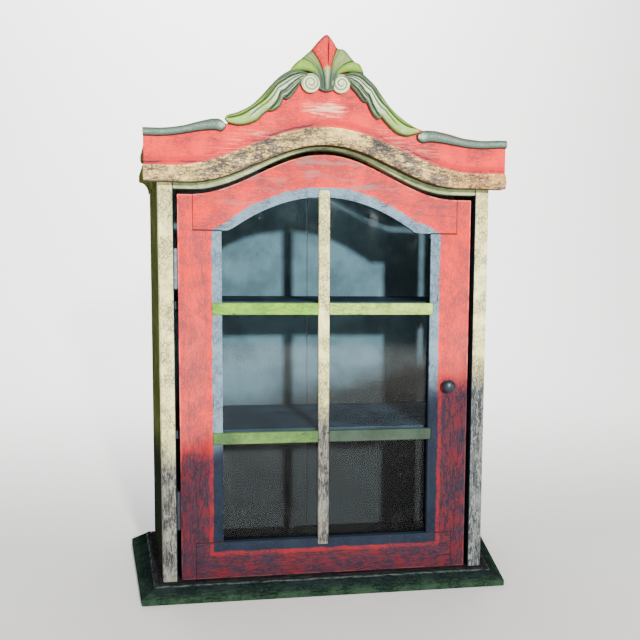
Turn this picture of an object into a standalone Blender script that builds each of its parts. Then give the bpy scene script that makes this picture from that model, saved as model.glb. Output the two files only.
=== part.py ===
"""A small painted display cabinet with one glazed door, a serpentine cornice and a carved crest.

Metres, +Z up. X runs across the front and Y runs from the front to the back. Every shape is written
with y = 0 on the front face of the two posts and z = 0 on the table. An empty then carries the whole
cabinet back by half of its depth, so that the origin is under its middle.
"""

import math

import bmesh
import bpy
from mathutils import Matrix, Vector

MM = 0.001
GAP = 0.3 * MM  # what is left between two pieces that touch

# Carcass. The sides are canted: they stand farther apart at the back than at the front.
FACE_HALF = 205.2 * MM
BACK_HALF = 230.6 * MM
BACK_Y = 211.7 * MM
POST_INNER = 188.1 * MM
POST_DEPTH = 18.0 * MM
SIDE_THICK = 12.0 * MM
BACK_BOARD_THICK = 6.7 * MM
BACK_RABBET = 6.0 * MM
SHELF_THICK = 10.0 * MM
SHELF_TOPS = {"lower": 206.5 * MM, "upper": 368.5 * MM}
DADO = 3.0 * MM
BOARD_EASE = 0.6 * MM
POST_EASE = 0.8 * MM

# Plinth: a base board edged on three sides with a sloped moulding.
BASE_THICK = 18.2 * MM
LEDGE = 5.0 * MM
PLINTH_FRONT = 27.3 * MM
PLINTH_FRONT_HALF = 229.6 * MM
PLINTH_BACK_HALF = 263.8 * MM
PLINTH_LIP = 7.6 * MM
PLINTH_SHOULDER = 0.2  # how far out along the moulding its slope begins

# Top board and cornice. CROWN_X is the middle of every arch, a little to the left of the carcass's.
CROWN_X = -5.0 * MM
TOP_LOW = 555.0 * MM
TOP_THICK = 16.0 * MM
TOP_OVERHANG = 12.4 * MM
TOP_ROUND = 5.0 * MM
CORNICE_HALF = 220.0 * MM
FRIEZE_THICK = 18.0 * MM
# How far the band's section stands proud, and how far its edges are drawn in there.
BAND_SECTION = ((0.3 * MM, 0.0), (3.0 * MM, 0.0), (5.2 * MM, 1.4 * MM), (6.0 * MM, 4.0 * MM))
BAND_LOW, BAND_LOW_RISE, BAND_LOW_RUN = 511.0 * MM, 47.4 * MM, 165.0 * MM
BAND_HIGH, BAND_HIGH_RISE, BAND_HIGH_RUN = 529.2 * MM, 50.0 * MM, 185.0 * MM
RAIL_LOW, RAIL_RISE, RAIL_RUN = 504.2 * MM, 51.5 * MM, 160.0 * MM
CARVING_FRONT = 32.3 * MM  # the crest's foremost point, ahead of the posts
PALMETTE_DOME = 6.5 * MM
LEAF_FRONT = 28.0 * MM
LEAF_DOME = 5.0 * MM
BEAD_FRONT = 25.0 * MM
BEAD_SECTION = ((-BEAD_FRONT + 2.6 * MM, 0.0), (-BEAD_FRONT + 0.7 * MM, 0.18), (-BEAD_FRONT, 0.45))
COVE_LOW = 513.0 * MM
COVE_HIGH = 545.0 * MM
COVE_REACH = 14.6 * MM

# Door
DOOR_X = -0.4 * MM
DOOR_WIDTH = 365.0 * MM
DOOR_THICK = 17.0 * MM
DOOR_LOW = 20.5 * MM
DOOR_HIGH, DOOR_RISE, DOOR_RUN = 497.7 * MM, 51.2 * MM, 165.0 * MM
OPENING_HALF = 130.8 * MM
OPENING_LOW = 66.6 * MM
OPENING_HIGH, OPENING_RISE, OPENING_RUN = 455.3 * MM, 42.4 * MM, 116.0 * MM
LAP_SHOULDER = 18.0 * MM  # the stile's outer strip that runs past the rails
LAP_DEPTH = 8.3 * MM
MUNTIN_HIGH = 14.5 * MM
MUNTIN_WIDE = 13.5 * MM
MUNTIN_DEPTH = 6.5 * MM
MUNTIN_HOUSING = 8.5 * MM  # how far the upright bar is let into the rails
BAR_HOUSING = {-1: 12.0 * MM, 1: 4.0 * MM}  # and the level bars into the left and the right stile
BAR_EASE = 0.7 * MM
MUNTIN_TOPS = {"lower": 205.8 * MM, "upper": 367.3 * MM}
RABBET = 8.0 * MM
RABBET_Y = 8.0 * MM
GLASS_THICK = 2.0 * MM
GLAZING_BEAD = 6.5 * MM

# Hinges, knob and catch
HINGE_X = -185.6 * MM
HINGE_Y = -1.0 * MM
HINGE_TALL = 47.0 * MM
HINGE_CENTRES = {"upper": 408.5 * MM, "lower": 110.0 * MM}
KNUCKLE_RADIUS = 2.3 * MM
LEAF_THICK = 1.0 * MM
LEAF_DEEP = 14.0 * MM
PIN_RADIUS = 1.05 * MM
SCREW_RISE = 14.5 * MM
SCREW_Y = 8.0 * MM
SCREW_LONG = 11.0 * MM
PILOT_RADIUS = 1.5 * MM
KNOB_X = 155.0 * MM
KNOB_Z = 261.5 * MM
KNOB_RADIUS = 8.4 * MM
KNOB_REACH = 16.0 * MM
KNOB_SPIGOT = 2.1 * MM
KNOB_BORE = 2.3 * MM
KNOB_SHANK = 1.8 * MM
CATCH_Z = 290.0 * MM
MAGNET_SIDE = 13.0 * MM
PLATE_HALF = 10.0 * MM
PLATE_THICK = 0.9 * MM

FACE_Y = (CARVING_FRONT - BACK_Y) / 2  # the posts' front face, seen from the middle of the depth

PAINTS = {
    "coral_paint": ((0.72, 0.11, 0.09), 0.62, 0.0),
    "cream_paint": ((0.74, 0.66, 0.46), 0.66, 0.0),
    "sage_paint": ((0.33, 0.45, 0.20), 0.64, 0.0),
    "leaf_paint": ((0.25, 0.36, 0.20), 0.60, 0.0),
    "teal_paint": ((0.035, 0.075, 0.070), 0.58, 0.0),
    "olive_paint": ((0.17, 0.17, 0.075), 0.68, 0.0),
    "slate_paint": ((0.12, 0.17, 0.22), 0.66, 0.0),
    "navy_paint": ((0.020, 0.033, 0.055), 0.45, 0.0),
    "clear_glass": ((0.90, 0.95, 0.94), 0.05, 0.0),
    "hinge_steel": ((0.18, 0.21, 0.24), 0.50, 0.9),
    "screw_steel": ((0.45, 0.43, 0.38), 0.40, 1.0),
    "magnet_black": ((0.02, 0.02, 0.02), 0.50, 0.0),
}


def clear_scene():
    for obj in list(bpy.data.objects):
        bpy.data.objects.remove(obj, do_unlink=True)


def paint(name):
    material = bpy.data.materials.get(name)
    if material is None:
        colour, roughness, metallic = PAINTS[name]
        material = bpy.data.materials.new(name)
        material.use_nodes = True
        shader = material.node_tree.nodes["Principled BSDF"]
        shader.inputs["Base Color"].default_value = (*colour, 1.0)
        shader.inputs["Roughness"].default_value = roughness
        shader.inputs["Metallic"].default_value = metallic
    return material


class Assembly:
    """An empty, and the pieces that hang on it. Their meshes are written in cabinet coordinates."""

    def __init__(self, name, place, parent=None):
        self.place = Vector(place)
        self.empty = bpy.data.objects.new(name, None)
        bpy.context.collection.objects.link(self.empty)
        if parent is not None:
            self.empty.parent = parent.empty
            self.empty.location = self.place - parent.place
        else:
            self.empty.location = self.place + Vector((0.0, FACE_Y, 0.0))

    def add(self, name, mesh, colour):
        obj = self.hang(name, mesh)
        mesh.materials.append(paint(colour))
        return obj

    def hang(self, name, mesh):
        obj = bpy.data.objects.new(name, mesh)
        bpy.context.collection.objects.link(obj)
        obj.parent = self.empty
        obj.location = -self.place
        return obj

    def cutter(self, name, mesh):
        obj = self.hang(name, mesh)
        obj.hide_render = True
        obj.display_type = "WIRE"
        return obj


def finish(bm, name):
    bmesh.ops.recalc_face_normals(bm, faces=bm.faces)
    mesh = bpy.data.meshes.new(name)
    bm.to_mesh(mesh)
    bm.free()
    return mesh


def loft(name, rings):
    """A closed solid through rings that have the same number of points."""
    bm = bmesh.new()
    rows = [[bm.verts.new(point) for point in ring] for ring in rings]
    for row, following in zip(rows, rows[1:]):
        for i in range(len(row)):
            j = (i + 1) % len(row)
            bm.faces.new((row[i], row[j], following[j], following[i]))
    bm.faces.new(rows[0])
    bm.faces.new(rows[-1])
    return finish(bm, name)


def front_prism(name, outline, y_low, y_high):
    """An outline of (x, z) points, pushed straight back from y_low to y_high."""
    return loft(name, [[(x, y, z) for x, z in outline] for y in (y_low, y_high)])


def plan_prism(name, outline, z_low, z_high):
    """An outline of (x, y) points, raised from z_low to z_high."""
    return loft(name, [[(x, y, z) for x, y in outline] for z in (z_low, z_high)])


def box(name, x_low, x_high, y_low, y_high, z_low, z_high):
    outline = [(x_low, y_low), (x_high, y_low), (x_high, y_high), (x_low, y_high)]
    return plan_prism(name, outline, z_low, z_high)


def turned(name, profile, centre, turn, sides=24):
    """A profile of (radius, height) points turned about an axis, which turn lays down and centre places."""
    bm = bmesh.new()
    rows = []
    for radius, height in profile:
        if radius == 0.0:
            rows.append([bm.verts.new((0.0, 0.0, height))])
            continue
        angles = [2 * math.pi * k / sides for k in range(sides)]
        rows.append([bm.verts.new((radius * math.cos(a), radius * math.sin(a), height)) for a in angles])
    for row, following in zip(rows, rows[1:]):
        for i in range(sides):
            j = (i + 1) % sides
            corners = [row[i % len(row)], row[j % len(row)], following[j % len(following)]]
            corners.append(following[i % len(following)])
            bm.faces.new(list(dict.fromkeys(corners)))
    for row in (rows[0], rows[-1]):
        if len(row) > 1:
            bm.faces.new(row)
    bmesh.ops.transform(bm, matrix=Matrix.Translation(centre) @ turn, verts=bm.verts)
    mesh = finish(bm, name)
    mesh.shade_smooth()
    mesh.set_sharp_from_angle(angle=math.radians(35))
    return mesh


def subtract(obj, cutter):
    modifier = obj.modifiers.new("Cut " + cutter.name, "BOOLEAN")
    modifier.operation = "DIFFERENCE"
    modifier.solver = "EXACT"
    modifier.object = cutter


def soften(obj, width, segments=1):
    """Eases every sharp edge, as sandpaper does."""
    modifier = obj.modifiers.new("Eased edges", "BEVEL")
    modifier.width = width
    modifier.segments = segments
    modifier.limit_method = "ANGLE"
    modifier.angle_limit = math.radians(50)
    modifier.use_clamp_overlap = True


def wave(x, low, rise, run):
    """A serpentine edge: level at both ends, with one smooth crown over CROWN_X."""
    distance = min(abs(x - CROWN_X) / run, 1.0)
    return low + rise * 0.5 * (1 + math.cos(math.pi * distance))


def opening_top(x, spread=0.0):
    """The head of the door's opening: level shoulders and a full arch between them."""
    share = abs(x - CROWN_X) / (OPENING_RUN + spread)
    return OPENING_HIGH + spread + OPENING_RISE * max(0.0, 1 - share**2)


def steps(start, end, count):
    return [start + (end - start) * k / count for k in range(count + 1)]


def smooth(points, per_span=3):
    """A Catmull-Rom curve through open control points."""
    padded = [points[0]] + list(points) + [points[-1]]
    curve = []
    for a, b, c, d in zip(padded, padded[1:], padded[2:], padded[3:]):
        for k in range(per_span):
            t = k / per_span
            curve.append(tuple(
                q + 0.5 * ((r - p) * t + (2 * p - 5 * q + 4 * r - s) * t**2 + (3 * q - p - 3 * r + s) * t**3)
                for p, q, r, s in zip(a, b, c, d)
            ))
    curve.append(tuple(points[-1]))
    return curve


def outer(y):
    """How far the carcass's outer face stands from the middle at depth y."""
    return FACE_HALF + (BACK_HALF - FACE_HALF) * y / BACK_Y


def inner(y):
    return outer(y) - SIDE_THICK


# ---- carcass ----


def plinth(cabinet):
    board_front = -LEDGE
    half_front = outer(board_front) + LEDGE
    half_back = outer(BACK_Y) + LEDGE
    outline = [(-half_front, board_front), (half_front, board_front)]
    outline += [(half_back, BACK_Y), (-half_back, BACK_Y)]
    board = cabinet.add("bottom_board", plan_prism("bottom_board", outline, 0.0, BASE_THICK), "teal_paint")
    soften(board, BOARD_EASE)

    profile = [(0.0, 0.0), (1.0, 0.0), (1.0, PLINTH_LIP), (0.94, PLINTH_LIP + 1.2 * MM)]
    profile += [(PLINTH_SHOULDER, BASE_THICK - MM), (PLINTH_SHOULDER - 0.02, BASE_THICK), (0.0, BASE_THICK)]

    def ring(near, far, shift=(0.0, 0.0)):
        return [
            (near[0] + (far[0] - near[0]) * t + shift[0], near[1] + (far[1] - near[1]) * t + shift[1], z)
            for t, z in profile
        ]

    for side, name in ((-1, "left"), (1, "right")):
        near = (side * (half_front + GAP), board_front - GAP)
        far = (side * PLINTH_FRONT_HALF, -PLINTH_FRONT)
        near_back = (side * (half_back + GAP), BACK_Y)
        far_back = (side * PLINTH_BACK_HALF, BACK_Y)
        mesh = loft("plinth_moulding_" + name, [ring(near, far), ring(near_back, far_back)])
        cabinet.add("plinth_moulding_" + name, mesh, "teal_paint")
    ends = []
    for side in (-1, 1):
        near = (side * (half_front + GAP), board_front - GAP)
        far = (side * PLINTH_FRONT_HALF, -PLINTH_FRONT)
        ends.append(ring(near, far, shift=(-side * 1.5 * GAP, 0.0)))
    cabinet.add("plinth_moulding_front", loft("plinth_moulding_front", ends), "teal_paint")


def posts(cabinet):
    top = TOP_LOW - GAP
    for side, name in ((-1, "left"), (1, "right")):
        corners = [(POST_INNER, 0.0), (outer(0.0), 0.0)]
        corners += [(outer(POST_DEPTH), POST_DEPTH), (POST_INNER, POST_DEPTH)]
        outline = [(side * x, y) for x, y in corners]
        mesh = plan_prism("post_" + name, outline, BASE_THICK + GAP, top)
        post = cabinet.add("post_" + name, mesh, "cream_paint")
        soften(post, POST_EASE)


def screw_holes(assembly, wood, name, side, z):
    """A pilot hole in the wood behind one hinge screw."""
    turn = Matrix.Rotation(side * math.pi / 2, 4, "Y")
    start = HINGE_X + side * (KNUCKLE_RADIUS - 0.2 * MM)
    profile = [(PILOT_RADIUS, 0.0), (PILOT_RADIUS, SCREW_LONG + MM / 2)]
    mesh = turned(name + "_pilot", profile, (start, SCREW_Y, z), turn, sides=12)
    subtract(wood, assembly.cutter(name + "_pilot", mesh))


def side_panels(cabinet):
    front = POST_DEPTH + GAP
    rabbet_y = BACK_Y - BACK_BOARD_THICK - GAP
    for side, name in ((-1, "left"), (1, "right")):
        outline = [(side * outer(front), front), (side * outer(BACK_Y), BACK_Y)]
        outline += [(side * inner(BACK_Y), BACK_Y), (side * inner(front), front)]
        mesh = plan_prism("side_panel_" + name, outline, BASE_THICK + GAP, TOP_LOW - GAP)
        panel = cabinet.add("side_panel_" + name, mesh, "olive_paint")
        for level, top in SHELF_TOPS.items():
            groove = [(side * (inner(y) + depth), y) for y, depth in (
                (front - MM, -MM), (rabbet_y, -MM), (rabbet_y, DADO), (front - MM, DADO)
            )]
            label = f"groove_{level}_{name}"
            cut = plan_prism(label, groove, top - SHELF_THICK - GAP, top + GAP)
            subtract(panel, cabinet.cutter(label, cut))
        reach = inner(rabbet_y) + BACK_RABBET
        label = "back_rabbet_" + name
        edges = sorted((side * (inner(rabbet_y) - 5 * MM), side * reach))
        cut = box(label, edges[0], edges[1], rabbet_y, BACK_Y + MM, 0.0, TOP_LOW + MM)
        subtract(panel, cabinet.cutter(label, cut))


def back_boards(cabinet):
    """Two upright boards that meet at a rough seam."""
    front = BACK_Y - BACK_BOARD_THICK
    reach = inner(front - GAP) + BACK_RABBET - GAP
    seam = CROWN_X
    spans = {"left": (-reach, seam - GAP), "right": (seam + GAP, reach)}
    for name, (low, high) in spans.items():
        mesh = box("back_board_" + name, low, high, front, BACK_Y, BASE_THICK + GAP, TOP_LOW - GAP)
        board = cabinet.add("back_board_" + name, mesh, "slate_paint")
        soften(board, BOARD_EASE)


def shelves(cabinet):
    front = POST_DEPTH + GAP
    back = BACK_Y - BACK_BOARD_THICK - GAP
    for level, top in SHELF_TOPS.items():
        reach = [inner(y) + DADO - GAP for y in (front, back)]
        outline = [(-reach[0], front), (reach[0], front), (reach[1], back), (-reach[1], back)]
        mesh = plan_prism("shelf_" + level, outline, top - SHELF_THICK, top)
        shelf = cabinet.add("shelf_" + level, mesh, "slate_paint")
        soften(shelf, BOARD_EASE)


def top_board(cabinet):
    """The roof, notched at the front for the arched rail, with rounded overhanging sides."""
    notch = POST_INNER + GAP
    notch_y = POST_DEPTH + GAP
    half = [outer(y) + TOP_OVERHANG for y in (0.0, BACK_Y)]
    outline = [(-half[0], 0.0), (-notch, 0.0), (-notch, notch_y), (notch, notch_y)]
    outline += [(notch, 0.0), (half[0], 0.0), (half[1], BACK_Y), (-half[1], BACK_Y)]
    bm = bmesh.new()
    bm.from_mesh(plan_prism("top_board", outline, TOP_LOW, TOP_LOW + TOP_THICK))
    sides = [
        edge for edge in bm.edges
        if abs(edge.verts[0].co.z - edge.verts[1].co.z) < MM / 10
        and all(abs(v.co.x) > notch + MM for v in edge.verts)
        and abs(edge.verts[0].co.y - edge.verts[1].co.y) > BACK_Y / 2
    ]
    bmesh.ops.bevel(bm, geom=sides, offset=TOP_ROUND, segments=3, profile=0.5, affect="EDGES")
    cabinet.add("top_board", finish(bm, "top_board"), "olive_paint")


def face_rail(cabinet):
    """The arched green rail between the posts, over the door."""
    reach = POST_INNER - GAP
    top = TOP_LOW + TOP_THICK
    lower = [(x, wave(x, RAIL_LOW, RAIL_RISE, RAIL_RUN)) for x in steps(-reach, reach, 40)]
    outline = lower + [(reach, top), (-reach, top)]
    mesh = front_prism("face_rail_top", outline, 0.0, POST_DEPTH)
    cabinet.add("face_rail_top", mesh, "sage_paint")


# ---- cornice ----

# Half outlines of the carving, as (distance from CROWN_X, height) in millimetres.
BEAD_TOP = [(215.0, 570.6), (192.0, 569.8), (170.0, 572.0), (150.0, 577.0), (133.0, 580.0), (123.0, 579.3)]
BEAD_SCROLL = [(118.0, 575.5), (119.5, 570.0), (125.5, 567.5), (130.0, 569.8)]
BEAD_UNDER = [(148.0, 567.4), (172.0, 563.0), (193.0, 561.2), (215.0, 561.9)]
LEAF_CREST = [(44.0, 643.0), (53.0, 635.5), (63.5, 626.0), (72.5, 614.5), (83.5, 603.0), (98.0, 592.5)]
LEAF_TIP = [(110.5, 586.2), (115.8, 581.0), (111.0, 576.8), (99.0, 574.5)]
LEAF_LOBES = ([(85.7, 578.5), (75.4, 586.5), (69.0, 593.8)], [(62.0, 592.6), (55.0, 599.3), (50.4, 609.8)])
LEAF_ROOT = [(45.0, 609.2), (38.4, 616.5), (31.5, 625.5)]
VOLUTE = (18.0, 629.0, 10.6)
FAN = [(17.0, 668.0), (24.0, 663.5), (31.0, 657.5), (39.0, 652.0), (43.0, 644.5)]
LOBE = [(0.0, 686.0), (7.5, 679.5), (13.5, 672.0)]
PALMETTE_FOOT = [(29.5, 641.2), (21.0, 642.2), (12.5, 639.8), (8.4, 635.6), (6.6, 630.0), (6.2, 622.8)]
BACKING = [(123.0, 578.0), (110.5, 582.5), (98.0, 589.0), (83.5, 599.5), (72.5, 611.0), (63.5, 622.5)]
BACKING_TOP = [(53.0, 632.0), (44.0, 640.0), (34.0, 650.5), (20.0, 662.5), (8.0, 674.5)]


def placed(points, side):
    """Carving points in millimetres from the crown, on one side of it, as metres."""
    return [(CROWN_X + side * x * MM, z * MM) for x, z in points]


def cornice(cabinet):
    half = CORNICE_HALF
    lower = [(x, wave(x, BAND_LOW, BAND_LOW_RISE, BAND_LOW_RUN)) for x in steps(-half, half, 44)]
    climb = [(half * 1000 + 5.0, 569.0)] + BEAD_TOP[1:5] + BACKING + BACKING_TOP
    right = placed(climb, 1)
    right[0] = (half, right[0][1])
    left = placed(climb, -1)[::-1]
    left[-1] = (-half, left[-1][1])
    crown = [(CROWN_X, 681.0 * MM)]
    rear = -GAP
    front = -FRIEZE_THICK
    board = front_prism("cornice_frieze", lower + right + crown + left, front, rear)
    frieze = cabinet.add("cornice_frieze", board, "coral_paint")
    soften(frieze, BOARD_EASE)

    upper = [(x, wave(x, BAND_HIGH, BAND_HIGH_RISE, BAND_HIGH_RUN)) for x in steps(half, -half, 44)]
    rings = []
    for proud, ease in BAND_SECTION:
        y = front - proud
        rings.append([(x, y, z + ease) for x, z in lower] + [(x, y, z - ease) for x, z in upper])
    cabinet.add("cornice_band", loft("cornice_band", rings), "cream_paint")


def coves(cabinet):
    """The hollow mouldings that carry the cornice along the two sides."""
    tall = COVE_HIGH - COVE_LOW
    bend = [k * math.pi / 2 / 5 for k in range(6)]
    reach = COVE_REACH * 0.86
    hollow = [(reach * (1 - math.cos(a)) + 1.5 * MM, COVE_LOW + tall * 0.5 * math.sin(a)) for a in bend]
    profile = [(GAP, COVE_LOW)] + hollow
    profile += [(COVE_REACH, COVE_LOW + tall * 0.55), (COVE_REACH, COVE_LOW + tall * 0.8)]
    profile += [(COVE_REACH * 0.6, COVE_HIGH), (GAP, COVE_HIGH)]
    for side, name in ((-1, "left"), (1, "right")):
        rings = [[(side * (outer(y) + out), y, z) for out, z in profile] for y in (0.0, BACK_Y)]
        cabinet.add("cornice_cove_" + name, loft("cornice_cove_" + name, rings), "olive_paint")


def carved(name, outline, back, front, dome, spine):
    """A carving with a flat back and a crowned front, which narrows towards its spine in three steps."""
    rings = []
    shares = ((back, 0.0), (front + dome, 0.0), (front + dome * 0.35, 0.09), (front, 0.26))
    for y, draw_in in shares:
        ring = []
        for x, z in outline:
            toward_x, toward_z = closest_on(spine, x, z)
            ring.append((x + (toward_x - x) * draw_in, y, z + (toward_z - z) * draw_in))
        rings.append(ring)
    return loft(name, rings)


def carvings(cabinet):
    back = -FRIEZE_THICK - GAP
    for side, name in ((-1, "left"), (1, "right")):
        bead = placed(BEAD_TOP, side) + placed(BEAD_SCROLL, side) + placed(BEAD_UNDER, side)
        bead[0] = (side * CORNICE_HALF, bead[0][1])
        bead[-1] = (side * CORNICE_HALF, bead[-1][1])
        rings = []
        middle = bead_line(bead)
        for y, ease in ((back, 0.0), *BEAD_SECTION):
            pairs = zip(bead, middle)
            rings.append([(x + (mx - x) * ease, y, z + (mz - z) * ease) for (x, z), (mx, mz) in pairs])
        cabinet.add("top_bead_" + name, loft("top_bead_" + name, rings), "leaf_paint")

        spans = (LEAF_CREST + LEAF_TIP + LEAF_LOBES[0], LEAF_LOBES[1], LEAF_ROOT)
        leaf = [point for span in spans for point in smooth(span, 2)]
        cx, cz, radius = VOLUTE
        turns = steps(-160.0, 85.0, 14)
        turns = [math.radians(turn) for turn in turns]
        scroll = [(cx - radius * math.cos(a), cz + radius * math.sin(a)) for a in turns]
        outline = placed(leaf + scroll, side)
        spine = placed([(cx, cz), (30.0, 632.0), (52.0, 622.0), (80.0, 592.0), (104.0, 580.0)], side)
        mesh = carved("acanthus_leaf_" + name, outline, back, -LEAF_FRONT, LEAF_DOME, spine)
        cabinet.add("acanthus_leaf_" + name, mesh, "leaf_paint")
    half = LOBE + FAN + PALMETTE_FOOT
    outline = placed(half, 1) + placed(half[1:], -1)[::-1]
    spine = placed([(0.0, 676.0), (0.0, 632.0)], 1)
    mesh = carved("crest_palmette", outline, back, -CARVING_FRONT, PALMETTE_DOME, spine)
    cabinet.add("crest_palmette", mesh, "coral_paint")


def bead_line(outline):
    """For each point of the bead's outline, the middle line's point that lies straight over or under it."""
    middle = []
    for x, z in outline:
        partner = min(outline, key=lambda p: abs(p[0] - x) * 4 - abs(p[1] - z))
        middle.append((x, (z + partner[1]) / 2))
    return middle


def closest_on(line, x, z):
    """The point nearest to (x, z) on a line of straight spans."""
    best = None
    for (ax, az), (bx, bz) in zip(line, line[1:]):
        span = (bx - ax) ** 2 + (bz - az) ** 2
        t = max(0.0, min(1.0, ((x - ax) * (bx - ax) + (z - az) * (bz - az)) / span))
        point = (ax + (bx - ax) * t, az + (bz - az) * t)
        distance = math.hypot(point[0] - x, point[1] - z)
        if best is None or distance < best[0]:
            best = (distance, point)
    return best[1]


# ---- door ----


def rabbet_cutter(door):
    """The opening made 8 mm larger all round, behind the frame's front half."""
    half = OPENING_HALF + RABBET
    head = [(x, opening_top(x, RABBET)) for x in steps(half, -half, 40)]
    outline = [(-half, OPENING_LOW - RABBET), (half, OPENING_LOW - RABBET)] + head
    return door.cutter("glass_rabbet", front_prism("glass_rabbet", outline, RABBET_Y, DOOR_THICK + MM))


def stiles(door, rabbet):
    low, high = DOOR_LOW, DOOR_HIGH
    for side, name in ((-1, "hinge"), (1, "latch")):
        edge = DOOR_X + side * DOOR_WIDTH / 2
        edges = sorted((edge, side * OPENING_HALF))
        mesh = box("door_stile_" + name, edges[0], edges[1], 0.0, DOOR_THICK, low, high)
        stile = door.add("door_stile_" + name, mesh, "coral_paint")
        shoulder = edge - side * LAP_SHOULDER
        reach = sorted((shoulder, side * (OPENING_HALF - MM)))
        laps = (("top", OPENING_HIGH - GAP, high + MM), ("bottom", low - MM, OPENING_LOW + GAP))
        for level, z_low, z_high in laps:
            label = f"lap_{level}_{name}"
            cut = box(label, reach[0], reach[1], -MM, LAP_DEPTH + GAP, z_low, z_high)
            subtract(stile, door.cutter(label, cut))
        subtract(stile, rabbet)
        housing = sorted((side * (OPENING_HALF + BAR_HOUSING[side] + GAP), side * (OPENING_HALF - MM)))
        for level, top in MUNTIN_TOPS.items():
            label = f"housing_{level}_{name}"
            z = (top - MUNTIN_HIGH - GAP, top + GAP)
            cut = box(label, housing[0], housing[1], -MM, MUNTIN_DEPTH + GAP, *z)
            subtract(stile, door.cutter(label, cut))
        if side < 0:
            for level, centre in HINGE_CENTRES.items():
                for row, rise in (("top", SCREW_RISE), ("bottom", -SCREW_RISE)):
                    screw_holes(door, stile, f"hinge_{level}_door_{row}", 1, centre + rise)
        else:
            turn = Matrix.Rotation(-math.pi / 2, 4, "X")
            profile = [(KNOB_BORE, 0.0), (KNOB_BORE, DOOR_THICK + 3 * MM)]
            bore = turned("knob_bore", profile, (KNOB_X, -MM, KNOB_Z), turn, sides=16)
            subtract(stile, door.cutter("knob_bore", bore))


def rails(door, rabbet):
    left = DOOR_X - DOOR_WIDTH / 2 + LAP_SHOULDER + GAP
    right = DOOR_X + DOOR_WIDTH / 2 - LAP_SHOULDER - GAP
    body = OPENING_HALF - GAP
    crown = [(x, wave(x, DOOR_HIGH, DOOR_RISE, DOOR_RUN)) for x in steps(right, left, 40)]
    arch = [(x, opening_top(x)) for x in [left] + steps(-OPENING_HALF, OPENING_HALF, 36) + [right]]
    level = [(left, OPENING_LOW), (left, DOOR_LOW), (right, DOOR_LOW), (right, OPENING_LOW)]
    for name, outline in (("top", arch + crown), ("bottom", level)):
        mesh = front_prism("door_rail_" + name, outline, 0.0, DOOR_THICK)
        rail = door.add("door_rail_" + name, mesh, "coral_paint")
        for side, end in ((-1, left), (1, right)):
            edges = sorted((side * body, end + side * MM))
            label = f"tongue_{name}_{'left' if side < 0 else 'right'}"
            cut = box(label, edges[0], edges[1], LAP_DEPTH, DOOR_THICK + MM, 0.0, TOP_LOW)
            subtract(rail, door.cutter(label, cut))
        subtract(rail, rabbet)
        label = "muntin_foot_" + name
        half = MUNTIN_WIDE / 2 + GAP
        z = {"top": (OPENING_HIGH, OPENING_HIGH + OPENING_RISE + MUNTIN_HOUSING + GAP)}
        z["bottom"] = (OPENING_LOW - MUNTIN_HOUSING - GAP, OPENING_LOW + MM)
        cut = box(label, CROWN_X - half, CROWN_X + half, -MM, MUNTIN_DEPTH + GAP, *z[name])
        subtract(rail, door.cutter(label, cut))


def muntins(door):
    low = OPENING_LOW - MUNTIN_HOUSING
    high = OPENING_HIGH + OPENING_RISE + MUNTIN_HOUSING
    half = MUNTIN_WIDE / 2
    mesh = box("muntin_vertical", CROWN_X - half, CROWN_X + half, 0.0, MUNTIN_DEPTH, low, high)
    upright = door.add("muntin_vertical", mesh, "cream_paint")
    soften(upright, BAR_EASE)
    for level, top in MUNTIN_TOPS.items():
        for side, name in ((-1, "left"), (1, "right")):
            edges = sorted((CROWN_X + side * (half + GAP), side * (OPENING_HALF + BAR_HOUSING[side])))
            label = f"muntin_{level}_{name}"
            mesh = box(label, edges[0], edges[1], 0.0, MUNTIN_DEPTH, top - MUNTIN_HIGH, top)
            soften(door.add(label, mesh, "sage_paint"), BAR_EASE)


def glazing(door):
    """One pane, dropped into the rabbet from behind and held by four thin beads."""
    edge = RABBET - GAP
    half = OPENING_HALF + edge
    head = [(x, opening_top(x, edge)) for x in steps(half, -half, 40)]
    outline = [(-half, OPENING_LOW - edge), (half, OPENING_LOW - edge)] + head
    front = RABBET_Y + GAP
    door.add("door_glass", front_prism("door_glass", outline, front, front + GLASS_THICK), "clear_glass")

    y_low = front + GLASS_THICK + GAP
    y_high = DOOR_THICK - 0.2 * MM
    bead_inner = half - GLAZING_BEAD
    low = OPENING_LOW - edge
    foot = low + GLAZING_BEAD
    shoulder = opening_top(half, edge) - GLAZING_BEAD - GAP
    bars = {
        "bottom": (-half, half, low, foot),
        "left": (-half, -bead_inner, foot + GAP, shoulder),
        "right": (bead_inner, half, foot + GAP, shoulder),
    }
    for name, (x_low, x_high, z_low, z_high) in bars.items():
        label = "glazing_bead_" + name
        mesh = box(label, x_low, x_high, y_low, y_high, z_low, z_high)
        soften(door.add(label, mesh, "navy_paint"), BOARD_EASE)
    under = [(x, opening_top(x, edge) - GLAZING_BEAD) for x in steps(-half, half, 40)]
    mesh = front_prism("glazing_bead_top", head + under, y_low, y_high)
    door.add("glazing_bead_top", mesh, "navy_paint")


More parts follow.
